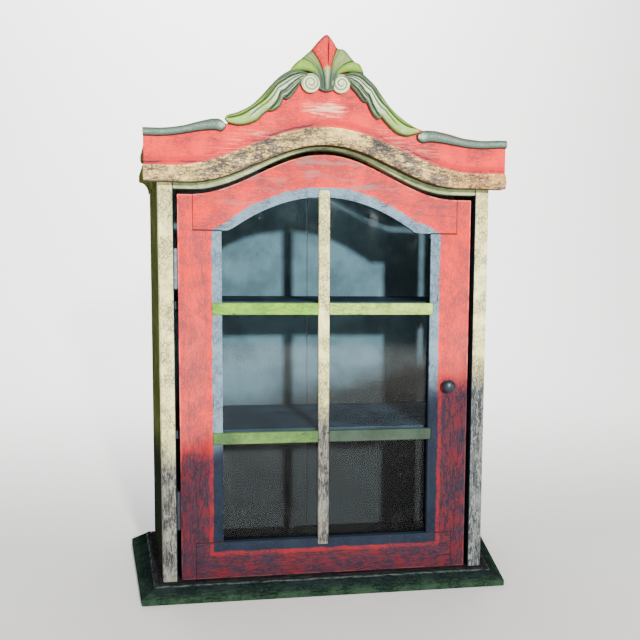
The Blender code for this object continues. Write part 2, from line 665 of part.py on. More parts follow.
def knob(door):
    turn = Matrix.Rotation(math.pi / 2, 4, "X")
    reach, radius = KNOB_REACH, KNOB_RADIUS
    foot = [(KNOB_SPIGOT, 9.0 * MM), (KNOB_SPIGOT, GAP), (5.6 * MM, GAP)]
    foot += [(5.6 * MM, 1.6 * MM), (4.4 * MM, 3.0 * MM)]
    neck = [(4.0 * MM, 5.4 * MM), (4.8 * MM, 7.2 * MM)]
    angles = [math.radians(a) for a in (-42, -16, 8, 30, 50, 70)]
    middle = reach - radius * 0.62
    head = [(radius * math.cos(a), middle + radius * 0.62 * math.sin(a)) for a in angles]
    profile = [(0.0, 9.0 * MM)] + foot + neck + head + [(0.0, reach)]
    mesh = turned("door_knob", profile, (KNOB_X, 0.0, KNOB_Z), turn, sides=28)
    door.add("door_knob", mesh, "navy_paint")
    start = DOOR_THICK + GAP
    profile = [(0.0, 1.8 * MM), (2.6 * MM, 1.3 * MM), (3.6 * MM, 0.0), (KNOB_SHANK, 0.0)]
    profile += [(KNOB_SHANK, -start - 7.5 * MM), (0.0, -start - 8.5 * MM)]
    turn = Matrix.Rotation(-math.pi / 2, 4, "X")
    mesh = turned("knob_screw", profile, (KNOB_X, start, KNOB_Z), turn, sides=16)
    door.add("knob_screw", mesh, "screw_steel")


# ---- ironmongery ----


def hinge_leaf(assembly, level, kind, side, spans):
    """A flat leaf and its knuckles, joined, bored for the pin and countersunk for two screws."""
    centre = HINGE_CENTRES[level]
    low = centre - HINGE_TALL / 2
    label = f"hinge_{level}_{kind}_leaf"
    flat = sorted((HINGE_X + side * KNUCKLE_RADIUS, HINGE_X + side * (KNUCKLE_RADIUS - LEAF_THICK)))
    mesh = box(label, flat[0], flat[1], HINGE_Y + 2.9 * MM, LEAF_DEEP, low, low + HINGE_TALL)
    leaf = assembly.add(label, mesh, "hinge_steel")
    for k, (start, end) in enumerate(spans):
        profile = [(KNUCKLE_RADIUS, start), (KNUCKLE_RADIUS, end)]
        knuckle = turned(f"{label}_knuckle_{k}", profile, (HINGE_X, HINGE_Y, low), Matrix(), sides=16)
        web = box(f"{label}_web_{k}", flat[0], flat[1], HINGE_Y, HINGE_Y + 4 * MM, low + start, low + end)
        for tool in (knuckle, web):
            modifier = leaf.modifiers.new("Join " + tool.name, "BOOLEAN")
            modifier.operation = "UNION"
            modifier.solver = "EXACT"
            modifier.object = assembly.cutter(tool.name, tool)
    profile = [(PIN_RADIUS + GAP, -MM), (PIN_RADIUS + GAP, HINGE_TALL + MM)]
    bore = turned(label + "_bore", profile, (HINGE_X, HINGE_Y, low), Matrix(), sides=12)
    subtract(leaf, assembly.cutter(label + "_bore", bore))
    turn = Matrix.Rotation(side * math.pi / 2, 4, "Y")
    face = HINGE_X + side * (KNUCKLE_RADIUS - LEAF_THICK)
    for row, rise in (("top", SCREW_RISE), ("bottom", -SCREW_RISE)):
        place = (face, SCREW_Y, centre + rise)
        sink = [(3.3 * MM, -0.4 * MM), (1.6 * MM, LEAF_THICK + 0.3 * MM)]
        cut = turned(f"{label}_sink_{row}", sink, place, turn, sides=12)
        subtract(leaf, assembly.cutter(cut.name, cut))
        profile = [(0.0, 0.0), (2.4 * MM, 0.0), (1.2 * MM, LEAF_THICK - 0.05 * MM)]
        profile += [(1.1 * MM, SCREW_LONG - MM), (0.0, SCREW_LONG)]
        name = f"hinge_{level}_{kind}_screw_{row}"
        assembly.add(name, turned(name, profile, place, turn, sides=12), "screw_steel")


def hinges(cabinet, door):
    third = HINGE_TALL / 3
    slack = 0.2 * MM
    for level, centre in HINGE_CENTRES.items():
        hinge_leaf(cabinet, level, "frame", -1, [(0.0, third - slack), (2 * third + slack, HINGE_TALL)])
        hinge_leaf(door, level, "door", 1, [(third + slack, 2 * third - slack)])
        low = centre - HINGE_TALL / 2
        head = KNUCKLE_RADIUS * 0.85
        profile = [(0.0, -1.4 * MM), (head, -0.8 * MM), (head, -GAP), (PIN_RADIUS, -GAP)]
        profile += [(r, HINGE_TALL - z) for r, z in reversed(profile)]
        mesh = turned(f"hinge_{level}_pin", profile, (HINGE_X, HINGE_Y, low), Matrix(), sides=12)
        cabinet.add(f"hinge_{level}_pin", mesh, "hinge_steel")


def catch(cabinet, door):
    """A small magnet behind the right post, and the plate on the door that it holds."""
    x_low = POST_INNER - MAGNET_SIDE
    x_high = POST_INNER + 4.0 * MM
    front = POST_DEPTH + 2 * GAP
    z = (CATCH_Z - MAGNET_SIDE, CATCH_Z + MAGNET_SIDE)
    mesh = box("catch_magnet", x_low, x_high, front, front + MAGNET_SIDE, *z)
    soften(cabinet.add("catch_magnet", mesh, "magnet_black"), BOARD_EASE)
    plate_low = DOOR_THICK + GAP / 2
    z = (CATCH_Z - PLATE_HALF, CATCH_Z + PLATE_HALF)
    mesh = box("catch_plate", x_low - MM, x_low + 6 * MM, plate_low, plate_low + PLATE_THICK, *z)
    door.add("catch_plate", mesh, "screw_steel")


def build():
    clear_scene()
    cabinet = Assembly("cabinet", (0.0, 0.0, 0.0))
    plinth(cabinet)
    posts(cabinet)
    side_panels(cabinet)
    back_boards(cabinet)
    shelves(cabinet)
    top_board(cabinet)
    face_rail(cabinet)
    cornice(cabinet)
    coves(cabinet)
    carvings(cabinet)

    door = Assembly("door_hinge_axis", (HINGE_X, HINGE_Y, 0.0), cabinet)
    rabbet = rabbet_cutter(door)
    stiles(door, rabbet)
    rails(door, rabbet)
    muntins(door)
    glazing(door)
    knob(door)
    hinges(cabinet, door)
    catch(cabinet, door)
    post = bpy.data.objects["post_left"]
    for level, centre in HINGE_CENTRES.items():
        for row, rise in (("top", SCREW_RISE), ("bottom", -SCREW_RISE)):
            screw_holes(cabinet, post, f"hinge_{level}_frame_{row}", -1, centre + rise)


build()
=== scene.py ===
"""Looks for a small painted display cabinet: a carved crest, aged paint, glass and a pale studio.

The cabinet stands on z = 0 with its front towards -Y. Lengths are in metres. CROWN is the upright line that
the arches and the carving are centred on, and FACE is where the front faces of the two posts lie.
"""

import math

import bmesh
import bpy
from mathutils import Matrix, Vector


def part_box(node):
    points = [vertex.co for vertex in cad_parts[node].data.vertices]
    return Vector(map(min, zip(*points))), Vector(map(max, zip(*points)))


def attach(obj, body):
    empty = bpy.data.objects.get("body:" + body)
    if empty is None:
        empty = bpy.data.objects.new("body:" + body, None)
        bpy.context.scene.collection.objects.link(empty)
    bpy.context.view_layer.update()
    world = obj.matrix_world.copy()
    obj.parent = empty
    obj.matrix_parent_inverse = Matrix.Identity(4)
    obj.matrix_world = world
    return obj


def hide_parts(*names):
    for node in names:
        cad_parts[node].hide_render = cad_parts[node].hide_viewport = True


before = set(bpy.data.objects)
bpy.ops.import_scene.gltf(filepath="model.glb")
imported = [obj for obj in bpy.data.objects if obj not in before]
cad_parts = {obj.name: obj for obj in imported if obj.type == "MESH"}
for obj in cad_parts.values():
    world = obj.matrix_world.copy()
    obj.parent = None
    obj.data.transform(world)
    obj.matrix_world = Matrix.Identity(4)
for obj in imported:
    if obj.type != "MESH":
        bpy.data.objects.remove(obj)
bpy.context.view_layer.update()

bl_info = {
    "name": "Painted display cabinet",
    "version": (1, 0, 0),
    "blender": (4, 5, 0),
    "location": "View3D > Sidebar > Cabinet",
    "description": "Carves, paints and glazes a small display cabinet and stands it in a pale studio",
    "category": "Object",
}

MM = 0.001
CROWN = -5.0 * MM
FACE = -89.7 * MM
FRIEZE_FRONT = FACE - 18.0 * MM
ON_FRIEZE = FRIEZE_FRONT - 0.3 * MM
CORNICE_HALF = 220.0 * MM

# The door's opening: half its width, its sill, the level of its shoulders and the arch between them.
OPENING_HALF = 130.8 * MM
POST_INNER = 188.1 * MM
OPENING_LOW = 66.6 * MM
OPENING_HIGH, OPENING_RISE, OPENING_RUN = 455.3 * MM, 42.4 * MM, 116.0 * MM
DOOR_X, DOOR_HALF = -0.4 * MM, 182.5 * MM
DOOR_LOW = 20.5 * MM
DOOR_HIGH, DOOR_RISE, DOOR_RUN = 497.7 * MM, 51.2 * MM, 165.0 * MM
BAND_LOW, BAND_LOW_RISE, BAND_LOW_RUN = 511.0 * MM, 47.4 * MM, 165.0 * MM
BAND_HIGH, BAND_HIGH_RISE, BAND_HIGH_RUN = 529.2 * MM, 50.0 * MM, 185.0 * MM

DOOR_BOARDS = ("door_stile_hinge", "door_stile_latch", "door_rail_top", "door_rail_bottom")
PLINTH = ("plinth_moulding_front", "plinth_moulding_left", "plinth_moulding_right")
SIDES = ("side_panel_left", "side_panel_right")
COVES = ("cornice_cove_left", "cornice_cove_right")
POSTS = ("post_left", "post_right")
GLAZING = ("glazing_bead_left", "glazing_bead_right", "glazing_bead_top", "glazing_bead_bottom")

PAINT_SHEEN = 0.14
# Painted cast shadow: paint is shaded below this level on the middle line, and it climbs this much to the
# right.
SHADOW_EDGE_LEVEL, SHADOW_EDGE_CLIMB = 231 * MM, 0.236
BLUE_BAND = 11.4 * MM
LAP_SETBACK = 18 * MM
RUBBED_LEVEL = 601 * MM

# Where the camera stands, how far it is turned, tipped and rolled in degrees, and its lens shift.
CAMERA_PLACE = (-0.1369, -1.1286, 0.4143)
CAMERA_TURN, CAMERA_TIP, CAMERA_ROLL = 9.854, 5.686, 0.514
CAMERA_SHIFT = (-0.0659, 0.0455)
LIT_POINT = (0.0, 0.0, 0.33)


# ---- settings a user would change ----


def colour(name, description, default):
    return bpy.props.FloatVectorProperty(
        name=name, description=description, default=default, subtype="COLOR", size=3, min=0.0, max=1.0
    )


def length(name, description, default, low, high):
    return bpy.props.FloatProperty(
        name=name, description=description, default=default, min=low, max=high, unit="LENGTH", precision=4
    )


def share(name, description, default):
    return bpy.props.FloatProperty(
        name=name, description=description, default=default, min=0.0, max=1.0, subtype="FACTOR"
    )


class CABINET_PG_colours(bpy.types.PropertyGroup):
    coral: colour("Coral", "Door frame and frieze, where the paint is fresh", (0.86, 0.026, 0.020))
    # Coral under the painted shadow over the lower door.
    coral_in_shadow: colour("Crimson", "The darker red low on the door", (0.105, 0.010, 0.016))
    under: colour("Undercoat", "The dark navy coat under the red and the cream", (0.012, 0.016, 0.030))
    band: colour("Door band, top", "Blue band round the glass, at the arch", (0.17, 0.26, 0.33))
    # The blue band under the painted shadow.
    band_in_shadow: colour("Door band, foot", "Blue band round the glass, low down", (0.008, 0.015, 0.030))
    cream: colour("Cream", "Posts, upright bar and cornice band", (1.0, 0.95, 0.42))
    # Cream under the painted shadow low on the posts and bar.
    cream_in_shadow: colour("Worn cream", "Cream low down, rubbed thin and grimy", (0.165, 0.155, 0.125))
    sage: colour("Sage", "Arched rail over the door", (0.46, 0.54, 0.27))
    lime: colour("Lime", "Brightest green on the carving and the bars", (0.24, 0.52, 0.025))
    leaf: colour("Leaf green", "Carved leaves", (0.13, 0.19, 0.11))
    teal: colour("Teal", "Plinth", (0.011, 0.017, 0.018))
    moss: colour("Moss", "Brushed green on the plinth's slopes", (0.024, 0.052, 0.028))
    olive: colour("Olive", "Sides and roof", (0.105, 0.120, 0.034))
    slate: colour("Slate", "Inside of the cabinet", (0.13, 0.22, 0.27))
    navy: colour("Navy", "Knob and glazing beads", (0.010, 0.020, 0.034))
    steel: colour("Hinge paint", "Painted hinges", (0.085, 0.125, 0.17))


class CABINET_PG_sizes(bpy.types.PropertyGroup):
    edge: length("Eased edge", "How far the boards' sharp edges are sanded back", 0.7 * MM, 0.1 * MM, 2 * MM)
    leaf_proud: length("Leaf relief", "How far the leaves stand off the frieze", 9.4 * MM, 6 * MM, 10 * MM)
    crest_proud: length("Crest relief", "How far the palmette stands proud", 13.8 * MM, 9 * MM, 14 * MM)
    bead_proud: length("Bead relief", "How far the top beads stand off the frieze", 6.8 * MM, 4 * MM, 9 * MM)
    band_proud: length("Band relief", "How far the cornice band stands proud", 6.0 * MM, 3 * MM, 8 * MM)
    knob_radius: length("Knob radius", "Half the knob's width", 8.4 * MM, 6 * MM, 10 * MM)
    wear: share("Wear", "How much undercoat shows through the paint", 0.5)
    smears: share("Smears", "How dirty the glass is", 0.5)


class CABINET_PG_studio(bpy.types.PropertyGroup):
    key: bpy.props.FloatProperty(
        name="Key light", description="Power of the small, strong light", default=250.0, min=0.0, unit="POWER"
    )
    fill: bpy.props.FloatProperty(
        name="Fill light", description="Power of the broad, weak light", default=12.0, min=0.0, unit="POWER"
    )
    lens: bpy.props.FloatProperty(
        name="Lens", description="Focal length in millimetres", default=47.17, min=20.0, max=200.0
    )
    backdrop: colour("Backdrop", "Floor and wall of the studio", (0.90, 0.90, 0.89))


# ---- meshes ----


def lerp(a, b, t):
    return a + (b - a) * t


def smoothstep(value, low, high):
    t = max(0.0, min(1.0, (value - low) / (high - low)))
    return t * t * (3 - 2 * t)


def wave(x, low, rise, run):
    """A serpentine edge: level at both ends, with one smooth crown over CROWN."""
    return low + rise * 0.5 * (1 + math.cos(math.pi * min(abs(x - CROWN) / run, 1.0)))


def along(points, t):
    """The point a share t of the way along a smooth curve through the points."""
    place = min(max(t, 0.0), 0.9999) * (len(points) - 1)
    k = int(place)
    t = place - k
    before, after = points[max(k - 1, 0)], points[min(k + 2, len(points) - 1)]
    found = []
    for p, q, r, s in zip(before, points[k], points[k + 1], after):
        square, cube = 2 * p - 5 * q + 4 * r - s, 3 * q - p - 3 * r + s
        found.append(q + 0.5 * ((r - p) * t + square * t**2 + cube * t**3))
    return found


def along_spans(spans, t):
    """The same along several curves in turn, each given with the share of the whole where it ends."""
    start = 0.0
    for end, points in spans:
        if t <= end:
            return along(points, (t - start) / (end - start))
        start = end
    return along(spans[-1][1], 1.0)


def from_crown(point, side):
    """A carving point, in millimetres out from the crown line and up from the table, as x and z."""
    return CROWN + side * point[0] * MM, point[1] * MM


def finished(bm, name, paints, smooth_under=40.0):
    """The mesh made into an object, with its doubles merged and edges sharper than the angle kept crisp."""
    bmesh.ops.remove_doubles(bm, verts=bm.verts, dist=0.01 * MM)
    bmesh.ops.recalc_face_normals(bm, faces=bm.faces)
    mesh = bpy.data.meshes.new(name)
    bm.to_mesh(mesh)
    bm.free()
    mesh.shade_smooth()
    mesh.set_sharp_from_angle(angle=math.radians(smooth_under))
    for paint in paints:
        mesh.materials.append(paint)
    obj = bpy.data.objects.new(name, mesh)
    bpy.context.scene.collection.objects.link(obj)
    return obj


def relief(columns, rows, place, back):
    """A carving with a flat back. place gives x, y, z and a height share for each (s, t) of a square grid."""
    bm = bmesh.new()
    bm.loops.layers.uv.new("Across")
    height = bm.verts.layers.float.new("height")
    bmesh.ops.create_grid(bm, x_segments=columns, y_segments=rows, size=0.5, calc_uvs=True)
    for vert in bm.verts:
        x, y, z, share_up = place(vert.co.x + 0.5, vert.co.y + 0.5)
        vert.co = (x, y, z)
        vert[height] = share_up
    bmesh.ops.remove_doubles(bm, verts=bm.verts, dist=0.02 * MM)
    rim = [edge for edge in bm.edges if edge.is_boundary]
    wall = bmesh.ops.extrude_edge_only(bm, edges=rim)["geom"]
    for vert in wall:
        if isinstance(vert, bmesh.types.BMVert):
            vert.co.y = back
            vert[height] = 0.0
    bmesh.ops.edgeloop_fill(bm, edges=[edge for edge in bm.edges if edge.is_boundary])
    return bm


def eased(node, width, paint, body):
    """A CAD board as a new piece with its sharp edges sanded back, standing for the board."""
    bm = bmesh.new()
    bm.from_mesh(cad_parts[node].data)
    bmesh.ops.remove_doubles(bm, verts=bm.verts, dist=0.01 * MM)
    bmesh.ops.dissolve_limit(bm, angle_limit=math.radians(0.5), verts=bm.verts, edges=bm.edges)
    shared = [edge for edge in bm.edges if len(edge.link_faces) == 2]
    sharp = [edge for edge in shared if edge.calc_face_angle(0.0) > math.radians(50)]
    bmesh.ops.bevel(
        bm, geom=sharp, offset=width, segments=2, profile=0.5, affect="EDGES", clamp_overlap=True, material=-1
    )
    obj = finished(bm, node + "_eased", [paint], 30.0)
    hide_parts(node)
    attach(obj, body)


def put_on(node, paint):
    """A new paint in every material slot of a CAD node."""
    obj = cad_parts[node]
    if not obj.data.materials:
        obj.data.materials.append(paint)
    for k in range(len(obj.data.materials)):
        obj.data.materials[k] = paint


# ---- shader maths ----


class Shade:
    """One output of a shader node. Python arithmetic on it adds the Math nodes."""

    def __init__(self, paint, socket):
        self.paint = paint
        self.socket = socket

    def maths(self, operation, *others):
        return self.paint.maths(operation, self, *others)

    def __add__(self, other):
        return self.maths("ADD", other)

    def __radd__(self, other):
        return self.paint.maths("ADD", other, self)

    def __sub__(self, other):
        return self.maths("SUBTRACT", other)

    def __rsub__(self, other):
        return self.paint.maths("SUBTRACT", other, self)

    def __mul__(self, other):
        return self.maths("MULTIPLY", other)

    def __rmul__(self, other):
        return self.paint.maths("MULTIPLY", other, self)

    def __truediv__(self, other):
        return self.maths("DIVIDE", other)

    def __abs__(self):
        return self.maths("ABSOLUTE")

    def __neg__(self):
        return self.maths("MULTIPLY", -1.0)

    def at_least(self, other):
        return self.maths("MAXIMUM", other)

    def at_most(self, other):
        return self.maths("MINIMUM", other)

    def cosine(self):
        return self.maths("COSINE")

    def ramp(self, low, high, start=0.0, end=1.0):
        """Runs smoothly from start, where the value is low, to end, where it is high."""
        settings = {"interpolation_type": "SMOOTHSTEP"}
        values = {"Value": self, "From Min": low, "From Max": high, "To Min": start, "To Max": end}
        return self.paint.node("ShaderNodeMapRange", settings, values)


class Paint:
    """A material that is built up from nodes."""

    def __init__(self, name):
        self.material = bpy.data.materials.new(name)
        self.material.use_nodes = True
        self.tree = self.material.node_tree
        self.tree.nodes.clear()
        place = self.node("ShaderNodeTexCoord", {}, {}, "Object")
        self.x, self.y, self.z = (
            self.node("ShaderNodeSeparateXYZ", {}, {"Vector": place}, axis) for axis in ("X", "Y", "Z")
        )

    def node(self, kind, settings, values, output=0):
        """Adds a node, sets its settings before its sockets, and returns one of its outputs."""
        node = self.tree.nodes.new(kind)
        for key, value in settings.items():
            setattr(node, key, value)
        for key, value in values.items():
            socket = node.inputs[key]
            if isinstance(value, Shade):
                self.tree.links.new(value.socket, socket)
            elif socket.type == "RGBA" and len(value) == 3:
                socket.default_value = (*value, 1.0)
            else:
                socket.default_value = value
        return Shade(self, node.outputs[output])

    def maths(self, operation, *values):
        return self.node("ShaderNodeMath", {"operation": operation}, dict(enumerate(values)))

    def vector(self, x, y, z):
        return self.node("ShaderNodeCombineXYZ", {}, {"X": x, "Y": y, "Z": z})

    def blend(self, share_of_b, a, b):
        """Colour a turning into colour b."""
        settings = {"data_type": "RGBA", "clamp_factor": True}
        return self.node("ShaderNodeMix", settings, {0: share_of_b, 6: a, 7: b}, 2)

    def noise(self, scales, detail=3.0, rough=0.55, shift=0.0):
        """Noise with its own number of cells per metre along X, Y and Z."""
        x, y, z = scales
        vector = self.vector(self.x * x + shift, self.y * y, self.z * z)
        values = {"Vector": vector, "Scale": 1.0, "Detail": detail, "Roughness": rough}
        return self.node("ShaderNodeTexNoise", {"noise_dimensions": "3D"}, values)

    def crackle(self, scales, width, bend=0.35):
        """1 on the lines of a net of cracks, 0 between them."""
        x, y, z = scales
        wander = self.noise([value * 0.7 for value in scales], 2.0, 0.5)
        push = (wander - 0.5) * (bend * 4)
        vector = self.vector(self.x * x + push, self.y * y - push, self.z * z + push * 0.6)
        values = {"Vector": vector, "Scale": 1.0, "Randomness": 1.0}
        gap = self.node("ShaderNodeTexVoronoi", {"feature": "DISTANCE_TO_EDGE"}, values)
        return gap.ramp(width * 0.3, width, 1.0, 0.0)

    def attribute(self, name):
        return self.node("ShaderNodeAttribute", {"attribute_name": name}, {}, "Fac")

    def over_carving(self):
        """How far a point lies along and across its carving, as two shares."""
        fan = self.node("ShaderNodeUVMap", {"uv_map": "Across"}, {})
        return [self.node("ShaderNodeSeparateXYZ", {}, {"Vector": fan}, axis) for axis in ("X", "Y")]

    def streaked(self, s, t):
        """Noise with so many cells along s and along t."""
        values = {"Vector": self.vector(s, t, 0.0), "Scale": 1.0, "Detail": 4.0, "Roughness": 0.7}
        return self.node("ShaderNodeTexNoise", {"noise_dimensions": "3D"}, values)

    def surface(self, base, roughness, bump=None, depth=0.3 * MM, strength=0.5, **steady):
        """Ends the material in a Principled shader. Steady values are set on its own sockets."""
        values = {"Base Color": base, "Roughness": roughness}
        if bump is not None:
            values["Normal"] = self.node(
                "ShaderNodeBump", {}, {"Height": bump, "Distance": depth, "Strength": strength}
            )
        names = {"metallic": "Metallic", "coat": "Coat Weight", "specular": "Specular IOR Level"}
        values.update({names[key]: value for key, value in steady.items()})
        shader = self.node("ShaderNodeBsdfPrincipled", {}, values)
        return self.finish(shader)

    def finish(self, shader):
        output = self.tree.nodes.new("ShaderNodeOutputMaterial")
        self.tree.links.new(shader.socket, output.inputs["Surface"])
        return self.material


GRAIN = {"X": (75.0, 360.0, 360.0), "Y": (360.0, 75.0, 360.0), "Z": (360.0, 360.0, 75.0)}


def scaled(scales, factor):
    return [value * factor for value in scales]


def aged(paint, base, under, pale, grain, wear, crack=0.6, speckle=0.3, brush=0.3, fine_by=1.0):
    """Crackled, rubbed and dry-brushed paint over an undercoat, as a colour and a height for the bump."""
    run = GRAIN[grain]
    streaks = paint.noise(scaled(run, 0.62), 4.0, 0.7)
    hairs = paint.noise(scaled(run, 1.5), 3.0, 0.65, shift=7.0)
    patches = paint.noise((34.0, 34.0, 34.0), 3.0, 0.6, shift=3.0)
    net = {"X": (95.0, 210.0, 210.0), "Y": (210.0, 95.0, 210.0), "Z": (210.0, 210.0, 95.0)}[grain]
    net = scaled(net, fine_by)
    cracks = paint.crackle(net, 0.13) * patches.ramp(0.34, 0.58)
    fine = paint.crackle(scaled(net, 2.3), 0.22) * patches.ramp(0.36, 0.60)
    boards = {"X": (5.0, 150.0, 150.0), "Y": (150.0, 5.0, 150.0), "Z": (150.0, 150.0, 5.0)}[grain]
    lengths = paint.noise(boards, 3.0, 0.6, shift=17.0)
    spread = streaks * 0.42 + hairs * 0.30 + lengths * 0.28 + (patches - 0.5) * 0.30 + wear * 0.20
    rubbed = spread.ramp(0.635, 0.705)
    dots = paint.noise((390.0, 390.0, 390.0), 2.0, 0.6).ramp(0.58, 0.68)
    worn = (cracks * crack).at_least(fine * (crack * 0.7)).at_least(rubbed * 0.9).at_least(dots * speckle)
    lift = paint.noise(scaled(run, 1.7), 3.0, 0.7, shift=21.0).ramp(0.60, 0.74) * brush
    tinted = paint.blend(lift, base, pale)
    tinted = paint.blend(worn.at_most(0.94), tinted, under)
    height = hairs * 0.35 + streaks * 0.35 - cracks * 0.5 - rubbed * 0.3
    return tinted, height


def worms(paint, scales, width, shift=0.0):
    """1 along the wandering level lines of a noise, which look like worm-shaped cracks, and 0 off them."""
    return closeness(abs(paint.noise(scales, 3.0, 0.6, shift=shift) - 0.5), width * 0.35, width)


def painted_shadow(paint, soft=30 * MM):
    """1 low down, under the edge of a cast shadow painted into the colours, and 0 above it."""
    level = SHADOW_EDGE_LEVEL + paint.x * SHADOW_EDGE_CLIMB
    wander = (paint.noise((20.0, 20.0, 20.0), 3.0, 0.6, shift=41.0) - 0.5) * (40 * MM)
    return (paint.z - level + wander).ramp(-soft, soft, 1.0, 0.0)


def closeness(distance, near, far):
    """1 where the distance is less than near, falling to 0 at far."""
    return distance.ramp(near, far, 1.0, 0.0)


def opening_distance(paint):
    """How far a point of the door's face lies outside the opening for the glass."""
    apart = abs(paint.x - CROWN) / OPENING_RUN
    top = OPENING_HIGH + OPENING_RISE * (1.0 - apart * apart).at_least(0.0)
    top = top - (abs(paint.x) - OPENING_RUN).at_least(0.0) * 0.5
    steep = abs(paint.x - CROWN).ramp(40 * MM, 116 * MM, 1.0, 0.86)
    over = (paint.z - top) * steep
    return (abs(paint.x) - OPENING_HALF).at_least(OPENING_LOW - paint.z).at_least(over)


def wave_height(paint, low, rise, run):
    """The serpentine edge as shader maths."""
    reach = (abs(paint.x - CROWN) / run).at_most(1.0)
    return low + rise * 0.5 * (1.0 + (reach * math.pi).cosine())


# ---- paints ----


def door_paint(colours, wear, grain):
    """Coral over navy, more worn and under a painted shadow lower down, with a blue band round the glass."""
    paint = Paint("door_coral_" + grain)
    # low is a shadow painted over the lower door: each colour blended to a darker copy by low is that paint in
    # the shade.
    low = painted_shadow(paint)
    middle = paint.z.ramp(300 * MM, 430 * MM, 1.0, 0.0) * (1.0 - low)
    broad = paint.noise((26.0, 26.0, 12.0), 3.0, 0.6, shift=11.0)
    base = paint.blend(broad.ramp(0.40, 0.68) * 0.5, tuple(colours.coral), (0.62, 0.030, 0.022))
    base = paint.blend(middle * broad.ramp(0.36, 0.62) * 0.65, base, (0.56, 0.085, 0.075))
    base = paint.blend(low, base, tuple(colours.coral_in_shadow))
    out = opening_distance(paint)
    wander = paint.noise((60.0, 60.0, 60.0), 2.0, 0.5)
    width = BLUE_BAND + (wander - 0.5) * (5 * MM)
    bright = closeness(abs(out - width - 3.2 * MM), 1.2 * MM, 4.0 * MM)
    lit = paint.blend(low, (0.90, 0.018, 0.014), (0.24, 0.008, 0.012))
    base = paint.blend(bright * 0.9, base, lit)
    worn = wear + 0.05 + low * 0.10 - bright * 0.7
    rubbed_coat = paint.blend(low, (0.20, 0.055, 0.060), tuple(colours.under))
    pale = paint.blend(low, (0.96, 0.085, 0.055), (0.20, 0.035, 0.045))
    red, height = aged(paint, base, rubbed_coat, pale, grain, worn, 0.85, 0.8, 0.5, 1.3)
    hand = paint.noise(scaled(GRAIN[grain], 0.28), 3.0, 0.6, shift=51.0)
    lines = worms(paint, scaled(GRAIN[grain], 0.66), 0.055, 71.0) * (1.0 - bright * 0.8)
    latch = paint.x.ramp(135 * MM, 150 * MM) * low
    lines_low = lines * hand.ramp(0.34, 0.46) * (0.72 + latch * 0.2)
    red = paint.blend(low * lines_low, red, (0.010, 0.010, 0.018))
    red = paint.blend((1.0 - low) * lines * 0.34, red, (0.26, 0.040, 0.040))
    over_arch = (paint.z - OPENING_HIGH).ramp(0.0, 30 * MM)
    over_arch = over_arch * closeness(abs(paint.x - CROWN), 90 * MM, 150 * MM)
    red = paint.blend(over_arch * hand.ramp(0.50, 0.64) * 0.62, red, (0.28, 0.17, 0.155))
    blue = paint.blend(low, tuple(colours.band), tuple(colours.band_in_shadow))
    pale = paint.blend(low, (0.42, 0.52, 0.58), (0.030, 0.045, 0.070))
    blue_under = paint.blend(low, (0.035, 0.050, 0.070), (0.004, 0.006, 0.012))
    blue, _ = aged(paint, blue, blue_under, pale, grain, wear * (1.0 - low * 0.8), 0.6, 0.6, 0.8)
    banded = closeness(out - width, 0.0, 1.6 * MM)
    aside = abs(paint.x - DOOR_X)
    shoulder = DOOR_HALF - LAP_SETBACK
    level = abs(paint.z - OPENING_HIGH).at_most(abs(paint.z - OPENING_LOW))
    joint = closeness(level, 0.5 * MM, 1.4 * MM) * aside.ramp(OPENING_HALF - MM, OPENING_HALF)
    joint = joint * aside.ramp(shoulder, shoulder + MM, 1.0, 0.0)
    beyond = (paint.z - OPENING_HIGH).at_least(OPENING_LOW - paint.z).ramp(0.0, 0.6 * MM)
    joint = joint.at_least(closeness(abs(aside - shoulder), 0.2 * MM, 0.9 * MM) * beyond * 0.6)
    # A paler line along the door's outer edges: partly rubbed paint, partly a painted highlight on the eased
    # edge.
    rim = (DOOR_HALF - aside).at_most(paint.z - DOOR_LOW)
    rim = rim.at_most(wave_height(paint, DOOR_HIGH, DOOR_RISE, DOOR_RUN) - paint.z)
    rim = closeness(rim, 0.5 * MM, 2.2 * MM) * wander.ramp(0.36, 0.60)
    edge_highlight_and_wear = paint.blend(low, (0.96, 0.22, 0.15), (0.16, 0.035, 0.040))
    mixed = paint.blend(banded, red, blue)
    mixed = paint.blend(rim * 0.6, mixed, edge_highlight_and_wear)
    mixed = paint.blend(joint * 0.85, mixed, (0.03, 0.008, 0.010))
    # Painted shade: the reveal round the glass is painted dark navy.
    reveal_shade = closeness(out, 0.5 * MM, 2.0 * MM) * paint.y.ramp(FACE + 0.9 * MM, FACE + 2.0 * MM)
    mixed = paint.blend(reveal_shade, mixed, tuple(colours.navy))
    rough = 0.58 + broad * 0.2
    return paint.surface(mixed, rough, height, 0.35 * MM, 0.7, specular=PAINT_SHEEN)


